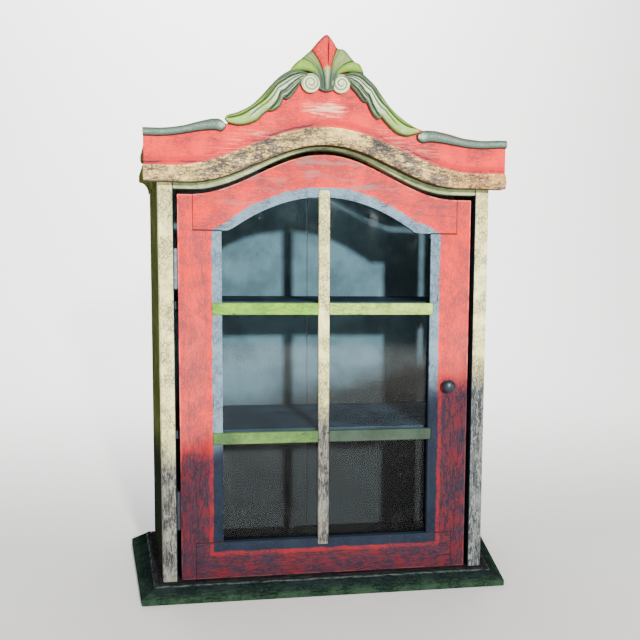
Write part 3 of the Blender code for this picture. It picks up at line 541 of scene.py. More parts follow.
def frieze_paint(colours, wear):
    """Coral with a pale rubbed place in the middle, a dark line over the cornice band and painted shade below
    its top.
    """
    paint = Paint("frieze_coral")
    broad = paint.noise((22.0, 22.0, 40.0), 3.0, 0.6, shift=5.0)
    base = paint.blend(broad.ramp(0.40, 0.68) * 0.6, tuple(colours.coral), (0.66, 0.022, 0.022))
    over = paint.z - wave_height(paint, BAND_HIGH, BAND_HIGH_RISE, BAND_HIGH_RUN)
    wander = paint.noise((30.0, 30.0, 30.0), 3.0, 0.6)
    line = closeness(abs(over - 5.5 * MM - (wander - 0.5) * (6 * MM)), 1.5 * MM, 5.5 * MM)
    base = paint.blend(line * 0.9, base, (0.62, 0.010, 0.012))
    dark = closeness(abs(over - 3.0 * MM - (wander - 0.5) * (8 * MM)), 0.3 * MM, 2.0 * MM)
    dark = dark * broad.ramp(0.42, 0.58)
    red, height = aged(paint, base, (0.22, 0.030, 0.035), (0.97, 0.15, 0.10), "X", wear, 0.7, 0.6, 0.6, 1.3)
    red = paint.blend(dark * 0.85, red, tuple(colours.under))
    brushed = paint.noise((42.0, 620.0, 620.0), 4.0, 0.7, shift=2.0)
    in_front = closeness(paint.y, FRIEZE_FRONT + MM, FRIEZE_FRONT + 3 * MM)
    spread = closeness(abs(paint.x - CROWN + 2 * MM), 4 * MM, 44 * MM)
    spread = spread * closeness(abs(paint.z - RUBBED_LEVEL), 0.0, 19 * MM)
    strokes = (spread * 0.30 + brushed).ramp(0.66, 0.84) * spread.ramp(0.0, 0.5) * in_front
    red = paint.blend(strokes * 0.85, red, (0.95, 0.56, 0.36))
    slopes = closeness(abs(abs(paint.x - CROWN) - 100 * MM), 10 * MM, 60 * MM)
    slopes = slopes * closeness(over - 14 * MM, 0.0, 14 * MM)
    red = paint.blend(slopes * brushed.ramp(0.48, 0.66) * 0.55, red, (0.90, 0.36, 0.26))
    # Painted shade: the frieze below the band's top, its underside included, is painted nearly black.
    red = paint.blend(over.ramp(-3 * MM, -MM, 1.0, 0.0), red, (0.020, 0.026, 0.012))
    return paint.surface(red, 0.6, height, 0.3 * MM, 0.6, specular=PAINT_SHEEN)


def cream_paint(name, colours, wear, grain, shade_inside=None):
    """Cream over blue-black, closely crackled and under a painted shadow low down. A post's inner arris can be
    painted shade.
    """
    paint = Paint(name)
    # low is the painted shadow low on the cabinet; shaded is the cream in that shade, greyer and bluer to the
    # right.
    low = painted_shadow(paint)
    broad = paint.noise((40.0, 40.0, 16.0), 3.0, 0.6, shift=4.0)
    base = paint.blend(broad.ramp(0.42, 0.70) * 0.45, tuple(colours.cream), (0.86, 0.74, 0.28))
    right = paint.x.ramp(60 * MM, 190 * MM)
    shaded = paint.blend(right, tuple(colours.cream_in_shadow), (0.10, 0.112, 0.112))
    base = paint.blend(low, base, shaded)
    under = paint.blend(low, (0.045, 0.050, 0.040), (0.014, 0.018, 0.022))
    pale = paint.blend(low, (1.0, 0.98, 0.62), (0.22, 0.23, 0.20))
    tint, height = aged(paint, base, under, pale, grain, wear * (0.50 + low * 0.40), 0.80, 0.40, 0.8, 1.7)
    lines = worms(paint, scaled(GRAIN[grain], 0.85), 0.070, 81.0) * broad.ramp(0.38, 0.50)
    tint = paint.blend(lines * (0.14 + low * 0.66), tint, under)
    pits = worms(paint, scaled(GRAIN[grain], 0.60), 0.045, 91.0) * low
    tint = paint.blend(pits * 0.6, tint, (0.26, 0.27, 0.25))
    # Painted shade: the post's inner side, in the gap beside the door, is painted dark navy.
    if shade_inside is not None:
        inner = abs(paint.x).ramp(shade_inside + 0.3 * MM, shade_inside + 0.9 * MM, 1.0, 0.0)
        tint = paint.blend(inner, tint, tuple(colours.navy))
    return paint.surface(tint, 0.62, height, 0.35 * MM, 0.7, specular=PAINT_SHEEN)


def band_paint(wear):
    """The cornice band: beige, mottled with navy and brown on both slopes, warmer at the right end."""
    paint = Paint("cornice_band_cream")
    broad = paint.noise((48.0, 48.0, 48.0), 4.0, 0.65, shift=9.0)
    slope = closeness(abs(abs(paint.x - CROWN) - 95 * MM), 25 * MM, 80 * MM)
    warm = paint.x.ramp(60 * MM, 215 * MM)
    base = paint.blend(warm, (0.96, 0.70, 0.24), (0.96, 0.50, 0.15))
    base = paint.blend(broad.ramp(0.42, 0.62) * 0.5, base, (0.50, 0.31, 0.14))
    strokes = paint.noise((80.0, 230.0, 230.0), 4.0, 0.7, shift=61.0)
    mottle = (broad * 0.5 + strokes * 0.5 + slope * 0.07 - warm * 0.02).ramp(0.54, 0.59)
    base = paint.blend(mottle * 0.72, base, (0.060, 0.062, 0.078))
    tint, height = aged(paint, base, (0.020, 0.022, 0.032), (0.96, 0.84, 0.44), "X", wear, 0.9, 0.8, 0.6, 1.4)
    lines = worms(paint, (60.0, 260.0, 260.0), 0.060, 87.0) * (0.25 + slope * 0.55)
    tint = paint.blend(lines, tint, (0.030, 0.032, 0.045))
    return paint.surface(tint, 0.62, height, 0.4 * MM, 0.8, specular=PAINT_SHEEN)


def green_paint(name, wear, first, second, grain, pale):
    """One green brushed over another."""
    paint = Paint(name)
    broad = paint.noise((30.0, 30.0, 30.0), 4.0, 0.6, shift=8.0)
    base = paint.blend(broad.ramp(0.38, 0.64), first, second)
    tint, height = aged(paint, base, (0.030, 0.055, 0.030), pale, grain, wear, 0.5, 0.4, 0.6)
    return paint.surface(tint, 0.6, height, 0.35 * MM, 0.6, specular=PAINT_SHEEN)


def plinth_paint(colours, wear, grain):
    """Dark teal, brushed with moss green down the slope to a lighter, crackled lip."""
    paint = Paint("plinth_teal_" + grain)
    lip = paint.z.ramp(5 * MM, 12 * MM, 1.0, 0.0)
    slope = paint.z.ramp(8 * MM, 17 * MM, 1.0, 0.0)
    brushed = paint.noise(GRAIN[grain], 4.0, 0.7, shift=31.0).ramp(0.40, 0.60)
    base = paint.blend(slope * brushed * 0.75, tuple(colours.teal), tuple(colours.moss))
    base = paint.blend(lip * 0.75, base, tuple(colours.moss))
    # A paler line along the slope's arris: partly rubbed paint, partly a painted highlight on the edge.
    arris = closeness(abs(paint.z - 16.8 * MM), 0.2 * MM, 1.0 * MM) * brushed
    tint, height = aged(paint, base, (0.003, 0.006, 0.007), (0.060, 0.11, 0.06), grain, wear, 0.75, 0.3, 0.4)
    ledge = paint.z.ramp(17.4 * MM, 17.9 * MM) * brushed
    tint = paint.blend(arris * 0.5, tint, (0.12, 0.16, 0.14))
    tint = paint.blend(ledge * 0.6, tint, (0.050, 0.036, 0.042))
    return paint.surface(tint, 0.75, height, 0.4 * MM, 0.7, specular=0.0)


def plain_paint(
    name, wear, base_colour, under, pale, grain, crack=0.3, rough=0.6, shadow_colour=None, sheen=0.0
):
    """One colour, a little uneven, that can turn to a darker one under a painted shadow low down."""
    paint = Paint(name)
    broad = paint.noise((18.0, 18.0, 18.0), 4.0, 0.6, shift=13.0)
    darker = tuple(value * 0.62 for value in base_colour)
    base = paint.blend(broad.ramp(0.35, 0.68), base_colour, darker)
    if shadow_colour is not None:
        base = paint.blend(painted_shadow(paint), base, shadow_colour)
    tint, height = aged(paint, base, under, pale, grain, wear, crack, 0.2, 0.35)
    return paint.surface(tint, rough, height, 0.3 * MM, 0.5, specular=sheen)


def carved_paint(name, middle, ridge, hollow, tip=None, tip_ridge=None):
    """Green, rubbed pale on ridges and dark in hollows (glaze and painted shade), brushed along the carving's
    length.
    """
    paint = Paint(name)
    up = paint.attribute("height")
    s, t = paint.over_carving()
    streaks = paint.streaked(s * 14.0, t * 26.0)
    broad = paint.noise((60.0, 60.0, 60.0), 4.0, 0.6, shift=6.0)
    base, crest = middle, ridge
    if tip is not None:
        reach = abs(paint.x - CROWN).ramp(50 * MM, 84 * MM) * broad.ramp(0.25, 0.50)
        base = paint.blend(reach, base, tip)
        crest = paint.blend(reach, ridge, tip_ridge)
    scratch = paint.noise((500.0, 500.0, 500.0), 3.0, 0.65)
    rough_up = up + (streaks - 0.5) * 0.55 + (scratch - 0.5) * 0.25
    high = rough_up.ramp(0.80, 1.04)
    low = rough_up.ramp(0.42, 0.80, 1.0, 0.0)
    tint = paint.blend(high * 0.85, base, crest)
    # Dark in the hollows: partly glaze, partly painted shade.
    tint = paint.blend(low * 0.92, tint, hollow)
    dots = paint.noise((700.0, 700.0, 700.0), 2.0, 0.6).ramp(0.58, 0.70)
    tint = paint.blend(dots * 0.4, tint, hollow)
    return paint.surface(tint, 0.58, scratch * 0.5 + streaks * 0.5, 0.3 * MM, 0.6, specular=PAINT_SHEEN)


def glass_paint(smears):
    """Clear glass with a faint green cast, and smears that catch the light."""
    paint = Paint("door_glass_clear")
    clear = paint.node("ShaderNodeBsdfTransparent", {}, {"Color": (0.93, 0.96, 0.96)})
    gloss = paint.node("ShaderNodeBsdfGlossy", {}, {"Color": (1.0, 1.0, 1.0), "Roughness": 0.04})
    edge_on = paint.node("ShaderNodeFresnel", {}, {"IOR": 1.5})
    pane = paint.node("ShaderNodeMixShader", {}, {0: edge_on * 0.16, 1: clear, 2: gloss})
    film = paint.node("ShaderNodeBsdfDiffuse", {}, {"Color": (0.62, 0.66, 0.66)})
    arcs = paint.noise((26.0, 26.0, 9.0), 5.0, 0.7, shift=2.0).ramp(0.54, 0.80)
    out = -opening_distance(paint)
    # More smear film near the frame: dirt gathered at its edges, left off within a few millimetres as the
    # frame's painted shade.
    edge_smear_and_shade = closeness(out, 3 * MM, 30 * MM) * out.ramp(4 * MM, 7 * MM)
    dirt = (arcs * 0.022 + arcs * edge_smear_and_shade * 0.05) * (smears * 2.0)
    shader = paint.node("ShaderNodeMixShader", {}, {0: dirt, 1: pane, 2: film})
    return paint.finish(shader)


def metal_paint(name, tint, worn_tint, roughness, metallic, shadow_tint=None):
    """Metal, bare or painted, rubbed to a second colour, and turned to a third one under a painted shadow low
    down.
    """
    paint = Paint(name)
    rub = paint.noise((220.0, 220.0, 160.0), 4.0, 0.65)
    base = paint.blend(rub.ramp(0.45, 0.7), tint, worn_tint)
    if shadow_tint is not None:
        base = paint.blend(painted_shadow(paint), base, shadow_tint)
    return paint.surface(base, rub * 0.25 + roughness, rub, 0.15 * MM, 0.4, metallic=metallic)


# ---- carvings ----

# Edges of the carvings, as millimetres out from the crown line and up from the table. Each leaf's crest edge
# runs from its tip to the volute. Its lower edge has three lobes, given with the share where each one ends.
LEAF_CREST = {
    "left": [(121.5, 584), (118, 588.5), (106, 592.5), (91, 600.5), (79, 611.5), (68, 624), (57, 635),
             (45, 642.5), (33, 644), (22, 640)],
    "right": [(114, 577.5), (102, 585), (89, 593.5), (76, 605.5), (66.5, 617.5), (58, 629), (49.5, 637),
              (41, 643.5), (30, 644.5), (18, 640)],
}
LEAF_LOBES = {
    "left": [(0.36, [(121.5, 584), (115.5, 579), (100.5, 577.5), (85, 582.5), (76, 590.5), (70.5, 595)]),
             (0.60, [(70.5, 595), (64, 595.5), (56, 601.5), (52.5, 610.5)]),
             (1.0, [(52.5, 610.5), (47, 609.5), (40.5, 615.5), (34, 625), (29, 634)])],
    "right": [(0.36, [(114, 577.5), (109, 574.5), (97.5, 571.5), (86, 574), (75, 582.5), (66, 592)]),
              (0.60, [(66, 592), (60.5, 590.5), (54, 597), (48, 609.5)]),
              (1.0, [(48, 609.5), (43, 610.5), (36, 618.5), (29, 626), (25, 634)])],
}
VOLUTES = {"left": (20.4, 628.8, 10.9), "right": (16.0, 629.4, 10.7)}
# For each flute: where it starts as a share of the leaf's length, where it starts and ends across the leaf,
# how deep it is and how wide.
FLUTES = [(0.04, 0.30, 0.22, 1.0, 0.050), (0.36, 1.0, 0.44, 1.1, 0.045), (0.60, 1.0, 0.72, 1.1, 0.045)]
FLUTES += [(0.20, 0.62, 0.33, 0.65, 0.035), (0.47, 0.92, 0.58, 0.7, 0.035), (0.70, 0.95, 0.86, 0.6, 0.03)]
FLUTES += [(0.42, 0.16, 0.10, 0.6, 0.03)]
CREST_EDGE = [(-46, 641.5), (-39.5, 650), (-31, 657), (-25.5, 662), (-20.5, 666.5), (-9.5, 679.5),
              (-1.2, 685.4), (6, 678.5), (11.5, 670.5), (20, 668.5), (31.5, 656.5), (38.5, 653), (43.5, 643.5)]
BEAD_TOP = [(215, 570.8), (192, 570), (170, 572), (150, 577), (135, 580.4), (125, 580), (118.5, 575)]
BEAD_UNDER = [(215, 561.6), (193, 561), (172, 563), (148, 567), (133, 568.5), (124, 567.2), (118.5, 571.5)]
# How far each bead's rounded end is moved out, and how far its top and its underside are raised.
BEAD_SHIFT = {"left": (1.5, 3.6, 2.6), "right": (-8.0, -1.2, -3.0)}


def flute_depth(s, t):
    """How deep the flutes cut at a point of the leaf."""
    deepest = 0.0
    for start, first, last, depth, width in FLUTES:
        if s <= start:
            continue
        run = ((s - start) / (1 - start)) ** 0.55
        across = (t - lerp(first, last, run)) / (width * (0.8 + 0.5 * (1 - run)))
        strength = smoothstep(s, start, start + 0.08)
        deepest = max(deepest, depth * strength * math.exp(-across * across))
    return deepest


def carve_leaf(name, side, proud):
    """An acanthus leaf: fluted lengthwise, with three lobes below and a volute at its root."""

    def place(s, t):
        crest = along(LEAF_CREST[name], s)
        under = along_spans(LEAF_LOBES[name], s)
        x, z = from_crown([lerp(a, b, t) for a, b in zip(crest, under)], side)
        rim = smoothstep(t, 0.0, 0.14) * smoothstep(1 - t, 0.0, 0.10) * smoothstep(s, 0.0, 0.05)
        bulge = 0.72 + 0.28 * math.sin(math.pi * min(max(t, 0.0), 1.0)) ** 0.7
        up = lerp(0.46, bulge, rim) - 0.42 * flute_depth(s, t) * (0.35 + 0.65 * rim)
        return x, ON_FRIEZE - proud * max(up, 0.2), z, up

    return relief(150, 44, place, ON_FRIEZE)


def carve_volute(name, side, proud):
    """The scroll at the leaf's root: a low dome with a spiral cut into it."""
    cx, cz, radius = VOLUTES[name]

    def place(s, t):
        a, b = 2 * s - 1, 2 * t - 1
        px, pz = a * math.sqrt(1 - b * b / 2), b * math.sqrt(1 - a * a / 2)
        away = min(math.hypot(px, pz), 1.0)
        turn = math.atan2(pz, px) / (2 * math.pi)
        spiral = 0.5 + 0.5 * math.cos(2 * math.pi * (away * 2.6 + turn))
        cut = smoothstep(away, 0.10, 0.30) * smoothstep(1 - away, 0.02, 0.12)
        dome = math.sqrt(max(1 - away**2 * 0.92, 0.0))
        up = lerp(0.52, 0.98, dome) - 0.17 * (1 - spiral) * cut
        x, z = from_crown((cx + px * radius, cz + pz * radius), side)
        return x, ON_FRIEZE - proud * up, z, lerp(0.50, 1.0, spiral * cut + (1 - cut) * 0.8)

    return relief(56, 56, place, ON_FRIEZE)


def carve_crest(proud):
    """The palmette: a tall middle lobe with two petals on each side, all drawn together into a foot."""
    parts = (0.0, 0.17, 0.335, 0.665, 0.835, 1.0)

    def place(s, t):
        edge = along(CREST_EDGE, s)
        foot = (lerp(-10.5, 8.5, s), 620.2 + 3.0 * abs(2 * s - 1) ** 2)
        bend = (lerp(-7.5, 5.5, s), 649.0)
        x, z = (a * (1 - t) ** 2 + 2 * b * t * (1 - t) + c * t * t for a, b, c in zip(edge, bend, foot))
        for start, end in zip(parts, parts[1:]):
            if start <= s <= end:
                share_in = (s - start) / (end - start)
        dome = math.sin(math.pi * share_in) ** 0.55
        middle = smoothstep(s, 0.32, 0.36) * smoothstep(1 - s, 0.32, 0.36)
        rib = 0.5 + 0.5 * math.cos(6 * math.pi * share_in)
        vein = math.exp(-(((s - 0.515) / 0.012) ** 2)) * smoothstep(t, 0.10, 0.2)
        vein *= smoothstep(1 - t, 0.42, 0.55)
        rim = smoothstep(t, 0.0, 0.07) * smoothstep(s, 0.0, 0.03) * smoothstep(1 - s, 0.0, 0.03)
        tall = lerp(0.78, 0.99, middle) * lerp(1.0, 0.80, smoothstep(t, 0.55, 1.0))
        up = lerp(0.40, tall * (0.66 + 0.34 * dome), rim)
        up -= 0.07 * (1 - rib) * (1 - middle) * rim + 0.16 * vein * middle
        up = lerp(up, 0.45, smoothstep(t, 0.96, 1.0))
        x = CROWN + x * MM
        return x, ON_FRIEZE - proud * up, z * MM, up * lerp(0.85, 1.1, dome)

    return relief(180, 60, place, ON_FRIEZE)


def carve_bead(name, side, proud):
    """A half-round bead that swells into a rounded end near the leaf."""
    out, lift_top, lift_under = BEAD_SHIFT[name]

    def place(s, t):
        shift = out * smoothstep(s, 0.35, 1.0)
        top, under = along(BEAD_TOP, s), along(BEAD_UNDER, s)
        point = [lerp(a, b, t) for a, b in zip(top, under)]
        point = (point[0] + shift, point[1] + lerp(lift_top, lift_under, t) * smoothstep(s, -0.2, 0.5))
        x, z = from_crown(point, side)
        x = max(-CORNICE_HALF, min(CORNICE_HALF, x))
        if s < 0.01:
            x = side * CORNICE_HALF
        round_over = math.sin(math.pi * t) ** 0.5
        eye = smoothstep(s, 0.72, 0.86)
        up = lerp(0.30, 0.86, round_over) + 0.14 * eye * round_over
        up = lerp(up, 0.40, smoothstep(s, 0.955, 1.0))
        return x, ON_FRIEZE - proud * up, z, up

    return relief(120, 16, place, ON_FRIEZE)


def shape_band(proud):
    """The serpentine cornice band: a rounded moulding with a small step along its top."""

    def place(s, t):
        x = lerp(-CORNICE_HALF, CORNICE_HALF, s)
        low = wave(x, BAND_LOW, BAND_LOW_RISE, BAND_LOW_RUN)
        high = wave(x, BAND_HIGH, BAND_HIGH_RISE, BAND_HIGH_RUN)
        hand = 0.02 * math.sin(x * 310) + 0.015 * math.sin(x * 733 + 1.0)
        up = 0.42 + 0.55 * math.sin(math.pi * min(t / 0.86, 1.0)) ** 0.6 + hand
        if t > 0.86:
            up = 0.42
        return x, ON_FRIEZE - proud * min(up, 1.0), lerp(low, high, t), up

    return relief(220, 22, place, ON_FRIEZE)


# ---- operators ----


class CABINET_OT_paint_frame(bpy.types.Operator):
    """Paint the carcass: posts, sides, roof, arched rail, frieze, plinth, shelves and back"""

    bl_idname = "cabinet.paint_frame"
    bl_label = "Paint the carcass"

    def execute(self, context):
        colours, sizes = context.scene.cabinet_colours, context.scene.cabinet_sizes
        wear, edge = sizes.wear, sizes.edge
        cream = cream_paint("post_cream", colours, wear, "Z", POST_INNER)
        for node in POSTS:
            put_on(node, cream)
        olive_coats = tuple(colours.olive), (0.012, 0.018, 0.014), (0.30, 0.30, 0.12)
        # The sides turn darker low down under the painted shadow.
        olive = plain_paint("side_olive", wear, *olive_coats, "Z", shadow_colour=(0.018, 0.024, 0.014))
        for node in SIDES:
            eased(node, edge, olive, "carcass")
        roof = plain_paint("roof_olive", wear, *olive_coats, "Y")
        eased("top_board", edge, roof, "carcass")
        for node in COVES:
            eased(node, edge * 0.5, roof, "carcass")
        sage = green_paint(
            "rail_sage", wear * 0.8, tuple(colours.sage), (0.30, 0.37, 0.17), "X", (0.66, 0.72, 0.44)
        )
        eased("face_rail_top", edge, sage, "carcass")
        put_on("cornice_frieze", frieze_paint(colours, wear))
        lengthwise, crosswise = plinth_paint(colours, wear, "X"), plinth_paint(colours, wear, "Y")
        put_on("bottom_board", lengthwise)
        for node, paint in zip(PLINTH, (lengthwise, crosswise, crosswise)):
            eased(node, edge, paint, "carcass")
        slate_coats = tuple(colours.slate), (0.06, 0.09, 0.11), (0.24, 0.34, 0.38)
        # The back boards turn darker low down under the painted shadow.
        slate_in_shadow = (0.026, 0.027, 0.028)
        back = plain_paint("back_slate", wear * 0.4, *slate_coats, "Z", 0.15, shadow_colour=slate_in_shadow)
        shelf_coats = (0.045, 0.075, 0.11), (0.02, 0.03, 0.04), (0.12, 0.17, 0.21)
        shelf = plain_paint("shelf_slate", wear, *shelf_coats, "X", 0.15)
        for node in ("back_board_left", "back_board_right"):
            put_on(node, back)
        for node in ("shelf_lower", "shelf_upper"):
            put_on(node, shelf)
        return {"FINISHED"}


class CABINET_OT_paint_door(bpy.types.Operator):
    """Paint the door's frame and bars, and ease its edges"""

    bl_idname = "cabinet.paint_door"
    bl_label = "Paint the door"

    def execute(self, context):
        colours, sizes = context.scene.cabinet_colours, context.scene.cabinet_sizes
        upright, level = door_paint(colours, sizes.wear, "Z"), door_paint(colours, sizes.wear, "X")
        for node in DOOR_BOARDS:
            paint = upright if "stile" in node else level
            eased(node, sizes.edge, paint, "door")
        put_on("muntin_vertical", cream_paint("bar_cream", colours, sizes.wear * 0.8, "Z"))
        greens = {
            "upper_left": (tuple(colours.lime), (0.15, 0.36, 0.03), (0.48, 0.72, 0.15)),
            "upper_right": ((0.44, 0.66, 0.12), (0.26, 0.42, 0.06), (0.80, 0.86, 0.34)),
            # The lower bars' darker greens are the green under the painted shadow, deepest on the right.
            "lower_left": ((0.115, 0.23, 0.050), (0.055, 0.12, 0.035), (0.28, 0.42, 0.14)),
            "lower_right": ((0.042, 0.068, 0.048), (0.022, 0.036, 0.026), (0.10, 0.14, 0.10)),
        }
        for place, (first, second, pale) in greens.items():
            bar = green_paint("bar_" + place, sizes.wear * 0.8, first, second, "X", pale)
            put_on("muntin_" + place, bar)
        return {"FINISHED"}


class CABINET_OT_glaze(bpy.types.Operator):
    """Give the door its glass and paint the beads that hold it"""

    bl_idname = "cabinet.glaze"
    bl_label = "Glaze the door"

    def execute(self, context):
        colours = context.scene.cabinet_colours
        put_on("door_glass", glass_paint(context.scene.cabinet_sizes.smears))
        navy = plain_paint(
            "bead_navy", 0.3, tuple(colours.navy), (0.01, 0.012, 0.02), (0.08, 0.11, 0.15), "Z", 0.1
        )
        for node in GLAZING:
            put_on(node, navy)
        return {"FINISHED"}


class CABINET_OT_fit_ironmongery(bpy.types.Operator):
    """Finish the hinges, screws and catch"""

    bl_idname = "cabinet.fit_ironmongery"
    bl_label = "Finish the ironmongery"

    def execute(self, context):
        steel = tuple(context.scene.cabinet_colours.steel)
        # The hinges' third colour is their paint under the painted shadow low down.
        painted = metal_paint("hinge_painted", steel, (0.20, 0.23, 0.26), 0.5, 0.2, (0.010, 0.014, 0.022))
        bright = metal_paint("screw_steel_worn", (0.40, 0.37, 0.31), (0.18, 0.15, 0.12), 0.30, 1.0)
        black = metal_paint("magnet_black_case", (0.015, 0.015, 0.016), (0.03, 0.03, 0.03), 0.45, 0.0)
        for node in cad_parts:
            if "screw" in node or node == "catch_plate":
                put_on(node, bright)
            elif node.startswith("hinge_"):
                put_on(node, painted)
        put_on("catch_magnet", black)
        return {"FINISHED"}


class CABINET_OT_carve_leaves(bpy.types.Operator):
    """Carve the two acanthus leaves with their volutes"""

    bl_idname = "cabinet.carve_leaves"
    bl_label = "Carve the leaves"

    def execute(self, context):
        colours, sizes = context.scene.cabinet_colours, context.scene.cabinet_sizes
        green = carved_paint(
            "leaf_green", tuple(colours.leaf), (0.66, 0.80, 0.58), (0.018, 0.030, 0.026),
            (0.15, 0.27, 0.035), (0.34, 0.50, 0.13),
        )
        cream = carved_paint("volute_cream", (0.50, 0.62, 0.34), (0.96, 0.96, 0.64), (0.07, 0.10, 0.07))
        for name, side in (("left", -1), ("right", 1)):
            node = "acanthus_leaf_" + name
            leaf = finished(carve_leaf(name, side, sizes.leaf_proud), node + "_carved", [green])
            scroll = finished(carve_volute(name, side, sizes.leaf_proud * 1.12), "volute_" + name, [cream])
            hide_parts(node)
            for piece in (leaf, scroll):
                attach(piece, "carcass")
        return {"FINISHED"}


def crest_paint():
    """Coral on the middle lobe, lime and grey-green on the petals, paler on ridges, dark in creases (glaze and
    painted shade).
    """
    paint = Paint("crest_colours")
    s, t = paint.over_carving()
    up = paint.attribute("height")
    scratch = paint.noise((480.0, 480.0, 480.0), 3.0, 0.65)
    broad = paint.noise((70.0, 70.0, 70.0), 3.0, 0.6, shift=3.0)
    streaks = paint.streaked(s * 70.0, t * 7.0)
    outer = abs(s - 0.5).ramp(0.330, 0.345)
    petal = paint.blend(outer, (0.18, 0.26, 0.085), (0.19, 0.35, 0.040))
    petal = paint.blend((t + (broad - 0.5) * 0.3).ramp(0.34, 0.74), petal, (0.10, 0.15, 0.11))
    petal = paint.blend((up + (streaks - 0.5) * 0.9).ramp(0.78, 1.04) * 0.7, petal, (0.40, 0.50, 0.20))
    petal = paint.blend(streaks.ramp(0.30, 0.44, 1.0, 0.0) * 0.7, petal, (0.035, 0.05, 0.03))
    coral = paint.blend(scratch.ramp(0.42, 0.70) * 0.6, (0.52, 0.022, 0.018), (0.84, 0.10, 0.07))
    coral = paint.blend(streaks.ramp(0.34, 0.46, 1.0, 0.0) * 0.4, coral, (0.22, 0.02, 0.025))
    coral = paint.blend(closeness(abs(s - 0.515), 0.004, 0.014) * 0.85, coral, (0.06, 0.012, 0.02))
    middle = closeness(abs(s - 0.5), 0.160, 0.168) * closeness(t + (broad - 0.5) * 0.05, 0.50, 0.60)
    tint = paint.blend(middle, petal, coral)
    # Dark low edges and creases between the lobes: partly glaze, partly painted shade.
    low = (up + (scratch - 0.5) * 0.25).ramp(0.18, 0.58, 1.0, 0.0)
    crease_glaze_and_shade = closeness(abs(abs(s - 0.5) - 0.165), 0.002, 0.014).at_least(
        closeness(abs(abs(s - 0.5) - 0.333), 0.002, 0.014)
    )
    tint = paint.blend((low * 0.85).at_least(crease_glaze_and_shade * 0.85), tint, (0.014, 0.022, 0.018))
    return paint.surface(tint, 0.58, scratch * 0.4 + streaks * 0.6, 0.3 * MM, 0.6, specular=PAINT_SHEEN)


class CABINET_OT_carve_crest(bpy.types.Operator):
    """Carve the palmette at the top of the cabinet"""

    bl_idname = "cabinet.carve_crest"
    bl_label = "Carve the palmette"

    def execute(self, context):
        bm = carve_crest(context.scene.cabinet_sizes.crest_proud)
        crest = finished(bm, "crest_palmette_carved", [crest_paint()])
        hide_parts("crest_palmette")
        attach(crest, "carcass")
        return {"FINISHED"}


class CABINET_OT_shape_cornice(bpy.types.Operator):
    """Shape the cornice band and the two top beads"""

    bl_idname = "cabinet.shape_cornice"
    bl_label = "Shape the cornice mouldings"

    def execute(self, context):
        sizes = context.scene.cabinet_sizes
        band = finished(shape_band(sizes.band_proud), "cornice_band_shaped", [band_paint(sizes.wear)])
        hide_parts("cornice_band")
        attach(band, "carcass")
        grey_greens = (0.085, 0.135, 0.105), (0.42, 0.58, 0.44), (0.020, 0.022, 0.018)
        grey = carved_paint("bead_grey_green", *grey_greens)
        for name, side in (("left", -1), ("right", 1)):
            bead = finished(carve_bead(name, side, sizes.bead_proud), f"top_bead_{name}_shaped", [grey])
            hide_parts("top_bead_" + name)
            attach(bead, "carcass")
        return {"FINISHED"}


class CABINET_OT_turn_knob(bpy.types.Operator):
    """Turn the door's knob on its axis"""

    bl_idname = "cabinet.turn_knob"
    bl_label = "Turn the knob"

    def execute(self, context):
        colours, sizes = context.scene.cabinet_colours, context.scene.cabinet_sizes
        low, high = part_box("door_knob")
        centre = (low + high) / 2
        radius, front = sizes.knob_radius, -low.y
        face = -FACE + 0.3 * MM
        profile = [(0.0, face - 8.7 * MM), (2.1 * MM, face - 8.7 * MM), (2.1 * MM, face), (5.6 * MM, face)]
        profile += [(5.6 * MM, face + 1.2 * MM), (5.0 * MM, face + 2.2 * MM), (4.2 * MM, face + 3.6 * MM)]
        profile += [(4.1 * MM, face + 5.0 * MM), (4.9 * MM, face + 6.6 * MM)]
        middle = front - radius * 0.62
        for angle in range(-40, 85, 10):
            turn = math.radians(angle)
            profile.append((radius * math.cos(turn), middle + radius * 0.62 * math.sin(turn)))
        profile.append((0.0, front))
        bm = bmesh.new()
        verts = [bm.verts.new((centre.x + r, -out, centre.z)) for r, out in profile]
        edges = [bm.edges.new(pair) for pair in zip(verts, verts[1:])]
        bmesh.ops.spin(
            bm, geom=verts + edges, cent=(centre.x, 0.0, centre.z), axis=(0.0, 1.0, 0.0), angle=2 * math.pi,
            steps=48, use_merge=True,
        )
        coats = tuple(colours.navy), (0.01, 0.012, 0.02), (0.10, 0.13, 0.17)
        paint = plain_paint("knob_navy", 0.25, *coats, "X", 0.1, 0.38, sheen=0.4)
        knob = finished(bm, "door_knob_turned", [paint])
        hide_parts("door_knob")
        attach(knob, "door")
        return {"FINISHED"}


def area_light(name, place, target, size, power, tint=(1.0, 1.0, 1.0)):
    data = bpy.data.lights.new(name, "AREA")
    data.shape = "SQUARE"
    data.size = size
    data.energy = power
    data.color = tint
    light = bpy.data.objects.new(name, data)
    light.location = place
    light.rotation_euler = (Vector(target) - Vector(place)).to_track_quat("-Z", "Y").to_euler()
    bpy.context.scene.collection.objects.link(light)


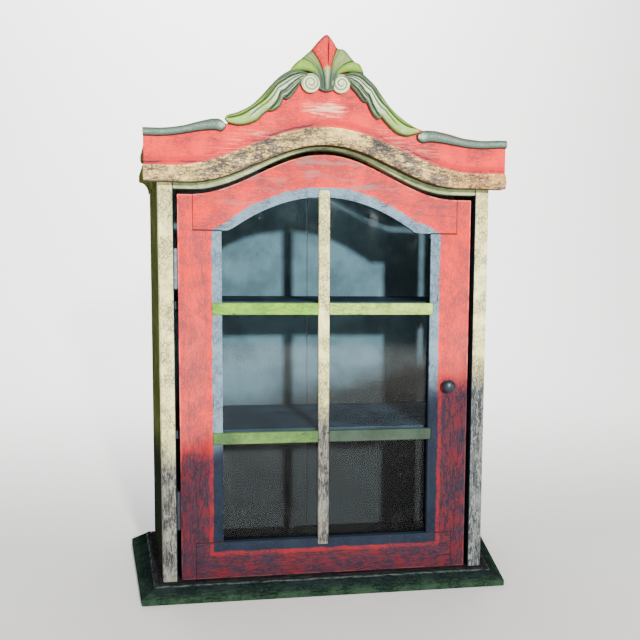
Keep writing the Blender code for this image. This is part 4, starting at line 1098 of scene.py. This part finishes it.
class CABINET_OT_set_studio(bpy.types.Operator):
    """Stand the cabinet on a pale floor, light it softly and set the camera"""

    bl_idname = "cabinet.set_studio"
    bl_label = "Set up the studio"

    def execute(self, context):
        scene, studio = context.scene, context.scene.cabinet_studio
        bm = bmesh.new()
        bmesh.ops.create_grid(bm, x_segments=1, y_segments=1, size=1.0)
        bmesh.ops.scale(bm, vec=(7.0, 5.0, 1.0), verts=bm.verts)
        bmesh.ops.translate(bm, vec=(0.0, -2.0, 0.0), verts=bm.verts)
        rear = [edge for edge in bm.edges if all(vert.co.y > 0 for vert in edge.verts)]
        made = bmesh.ops.extrude_edge_only(bm, edges=rear)["geom"]
        rim = [vert for vert in made if isinstance(vert, bmesh.types.BMVert)]
        bmesh.ops.translate(bm, vec=(0.0, 0.0, 5.0), verts=rim)
        bmesh.ops.bevel(
            bm, geom=rear, offset=1.4, segments=24, profile=0.5, affect="EDGES", clamp_overlap=True,
            material=-1,
        )
        pale = Paint("studio_floor").surface(tuple(studio.backdrop), 0.85, specular=0.1)
        sweep = finished(bm, "studio_floor", [pale], 60.0)

        world = bpy.data.worlds.new("studio")
        world.use_nodes = True
        background = world.node_tree.nodes["Background"]
        background.inputs["Color"].default_value = (1.0, 1.0, 1.0, 1.0)
        background.inputs["Strength"].default_value = 0.38
        scene.world = world

        area_light("key", (0.45, -3.3, 1.04), LIT_POINT, 0.13, studio.key, (1.0, 0.97, 0.93))
        area_light("fill", (-1.6, -2.6, 1.5), LIT_POINT, 1.6, studio.fill, (0.92, 0.96, 1.0))
        area_light("backdrop_wash", (0.0, 0.9, 2.6), (0.0, 3.2, 1.9), 2.0, studio.key * 1.1)

        data = bpy.data.cameras.new("camera")
        data.sensor_width = 36.0
        data.lens = studio.lens
        data.shift_x, data.shift_y = CAMERA_SHIFT
        data.clip_start, data.clip_end = 0.05, 50.0
        camera = bpy.data.objects.new("camera", data)
        yaw, pitch, roll = (math.radians(angle) for angle in (CAMERA_TURN, CAMERA_TIP, CAMERA_ROLL))
        ahead = Vector((math.sin(yaw) * math.cos(pitch), math.cos(yaw) * math.cos(pitch), -math.sin(pitch)))
        right = Vector((math.cos(yaw), -math.sin(yaw), 0.0))
        up = right.cross(ahead)
        across = math.cos(roll) * right + math.sin(roll) * up
        upright = math.cos(roll) * up - math.sin(roll) * right
        turned = Matrix((across, upright, -ahead)).transposed()
        camera.rotation_euler = turned.to_euler()
        camera.location = CAMERA_PLACE
        scene.collection.objects.link(camera)
        scene.camera = camera
        return {"FINISHED"}


OPERATORS = (
    CABINET_OT_paint_frame,
    CABINET_OT_paint_door,
    CABINET_OT_glaze,
    CABINET_OT_fit_ironmongery,
    CABINET_OT_carve_leaves,
    CABINET_OT_carve_crest,
    CABINET_OT_shape_cornice,
    CABINET_OT_turn_knob,
    CABINET_OT_set_studio,
)


class CABINET_PT_panel(bpy.types.Panel):
    """The cabinet's operators and settings"""

    bl_idname = "CABINET_PT_panel"
    bl_label = "Painted display cabinet"
    bl_space_type = "VIEW_3D"
    bl_region_type = "UI"
    bl_category = "Cabinet"

    def draw(self, context):
        for operator in OPERATORS:
            self.layout.operator(operator.bl_idname)
        scene = context.scene
        for group in (scene.cabinet_colours, scene.cabinet_sizes, scene.cabinet_studio):
            column = self.layout.column()
            for name in group.bl_rna.properties.keys():
                if name not in ("rna_type", "name"):
                    column.prop(group, name)


CLASSES = (CABINET_PG_colours, CABINET_PG_sizes, CABINET_PG_studio, *OPERATORS, CABINET_PT_panel)


def register():
    for cls in CLASSES:
        bpy.utils.register_class(cls)
    bpy.types.Scene.cabinet_colours = bpy.props.PointerProperty(type=CABINET_PG_colours)
    bpy.types.Scene.cabinet_sizes = bpy.props.PointerProperty(type=CABINET_PG_sizes)
    bpy.types.Scene.cabinet_studio = bpy.props.PointerProperty(type=CABINET_PG_studio)


def unregister():
    del bpy.types.Scene.cabinet_colours
    del bpy.types.Scene.cabinet_sizes
    del bpy.types.Scene.cabinet_studio
    for cls in reversed(CLASSES):
        bpy.utils.unregister_class(cls)


def main():
    register()
    bpy.ops.cabinet.paint_frame()
    bpy.ops.cabinet.paint_door()
    bpy.ops.cabinet.glaze()
    bpy.ops.cabinet.fit_ironmongery()
    bpy.ops.cabinet.carve_leaves()
    bpy.ops.cabinet.carve_crest()
    bpy.ops.cabinet.shape_cornice()
    bpy.ops.cabinet.turn_knob()
    bpy.ops.cabinet.set_studio()
    bpy.context.view_layer.update()


if __name__ == "__main__":
    main()
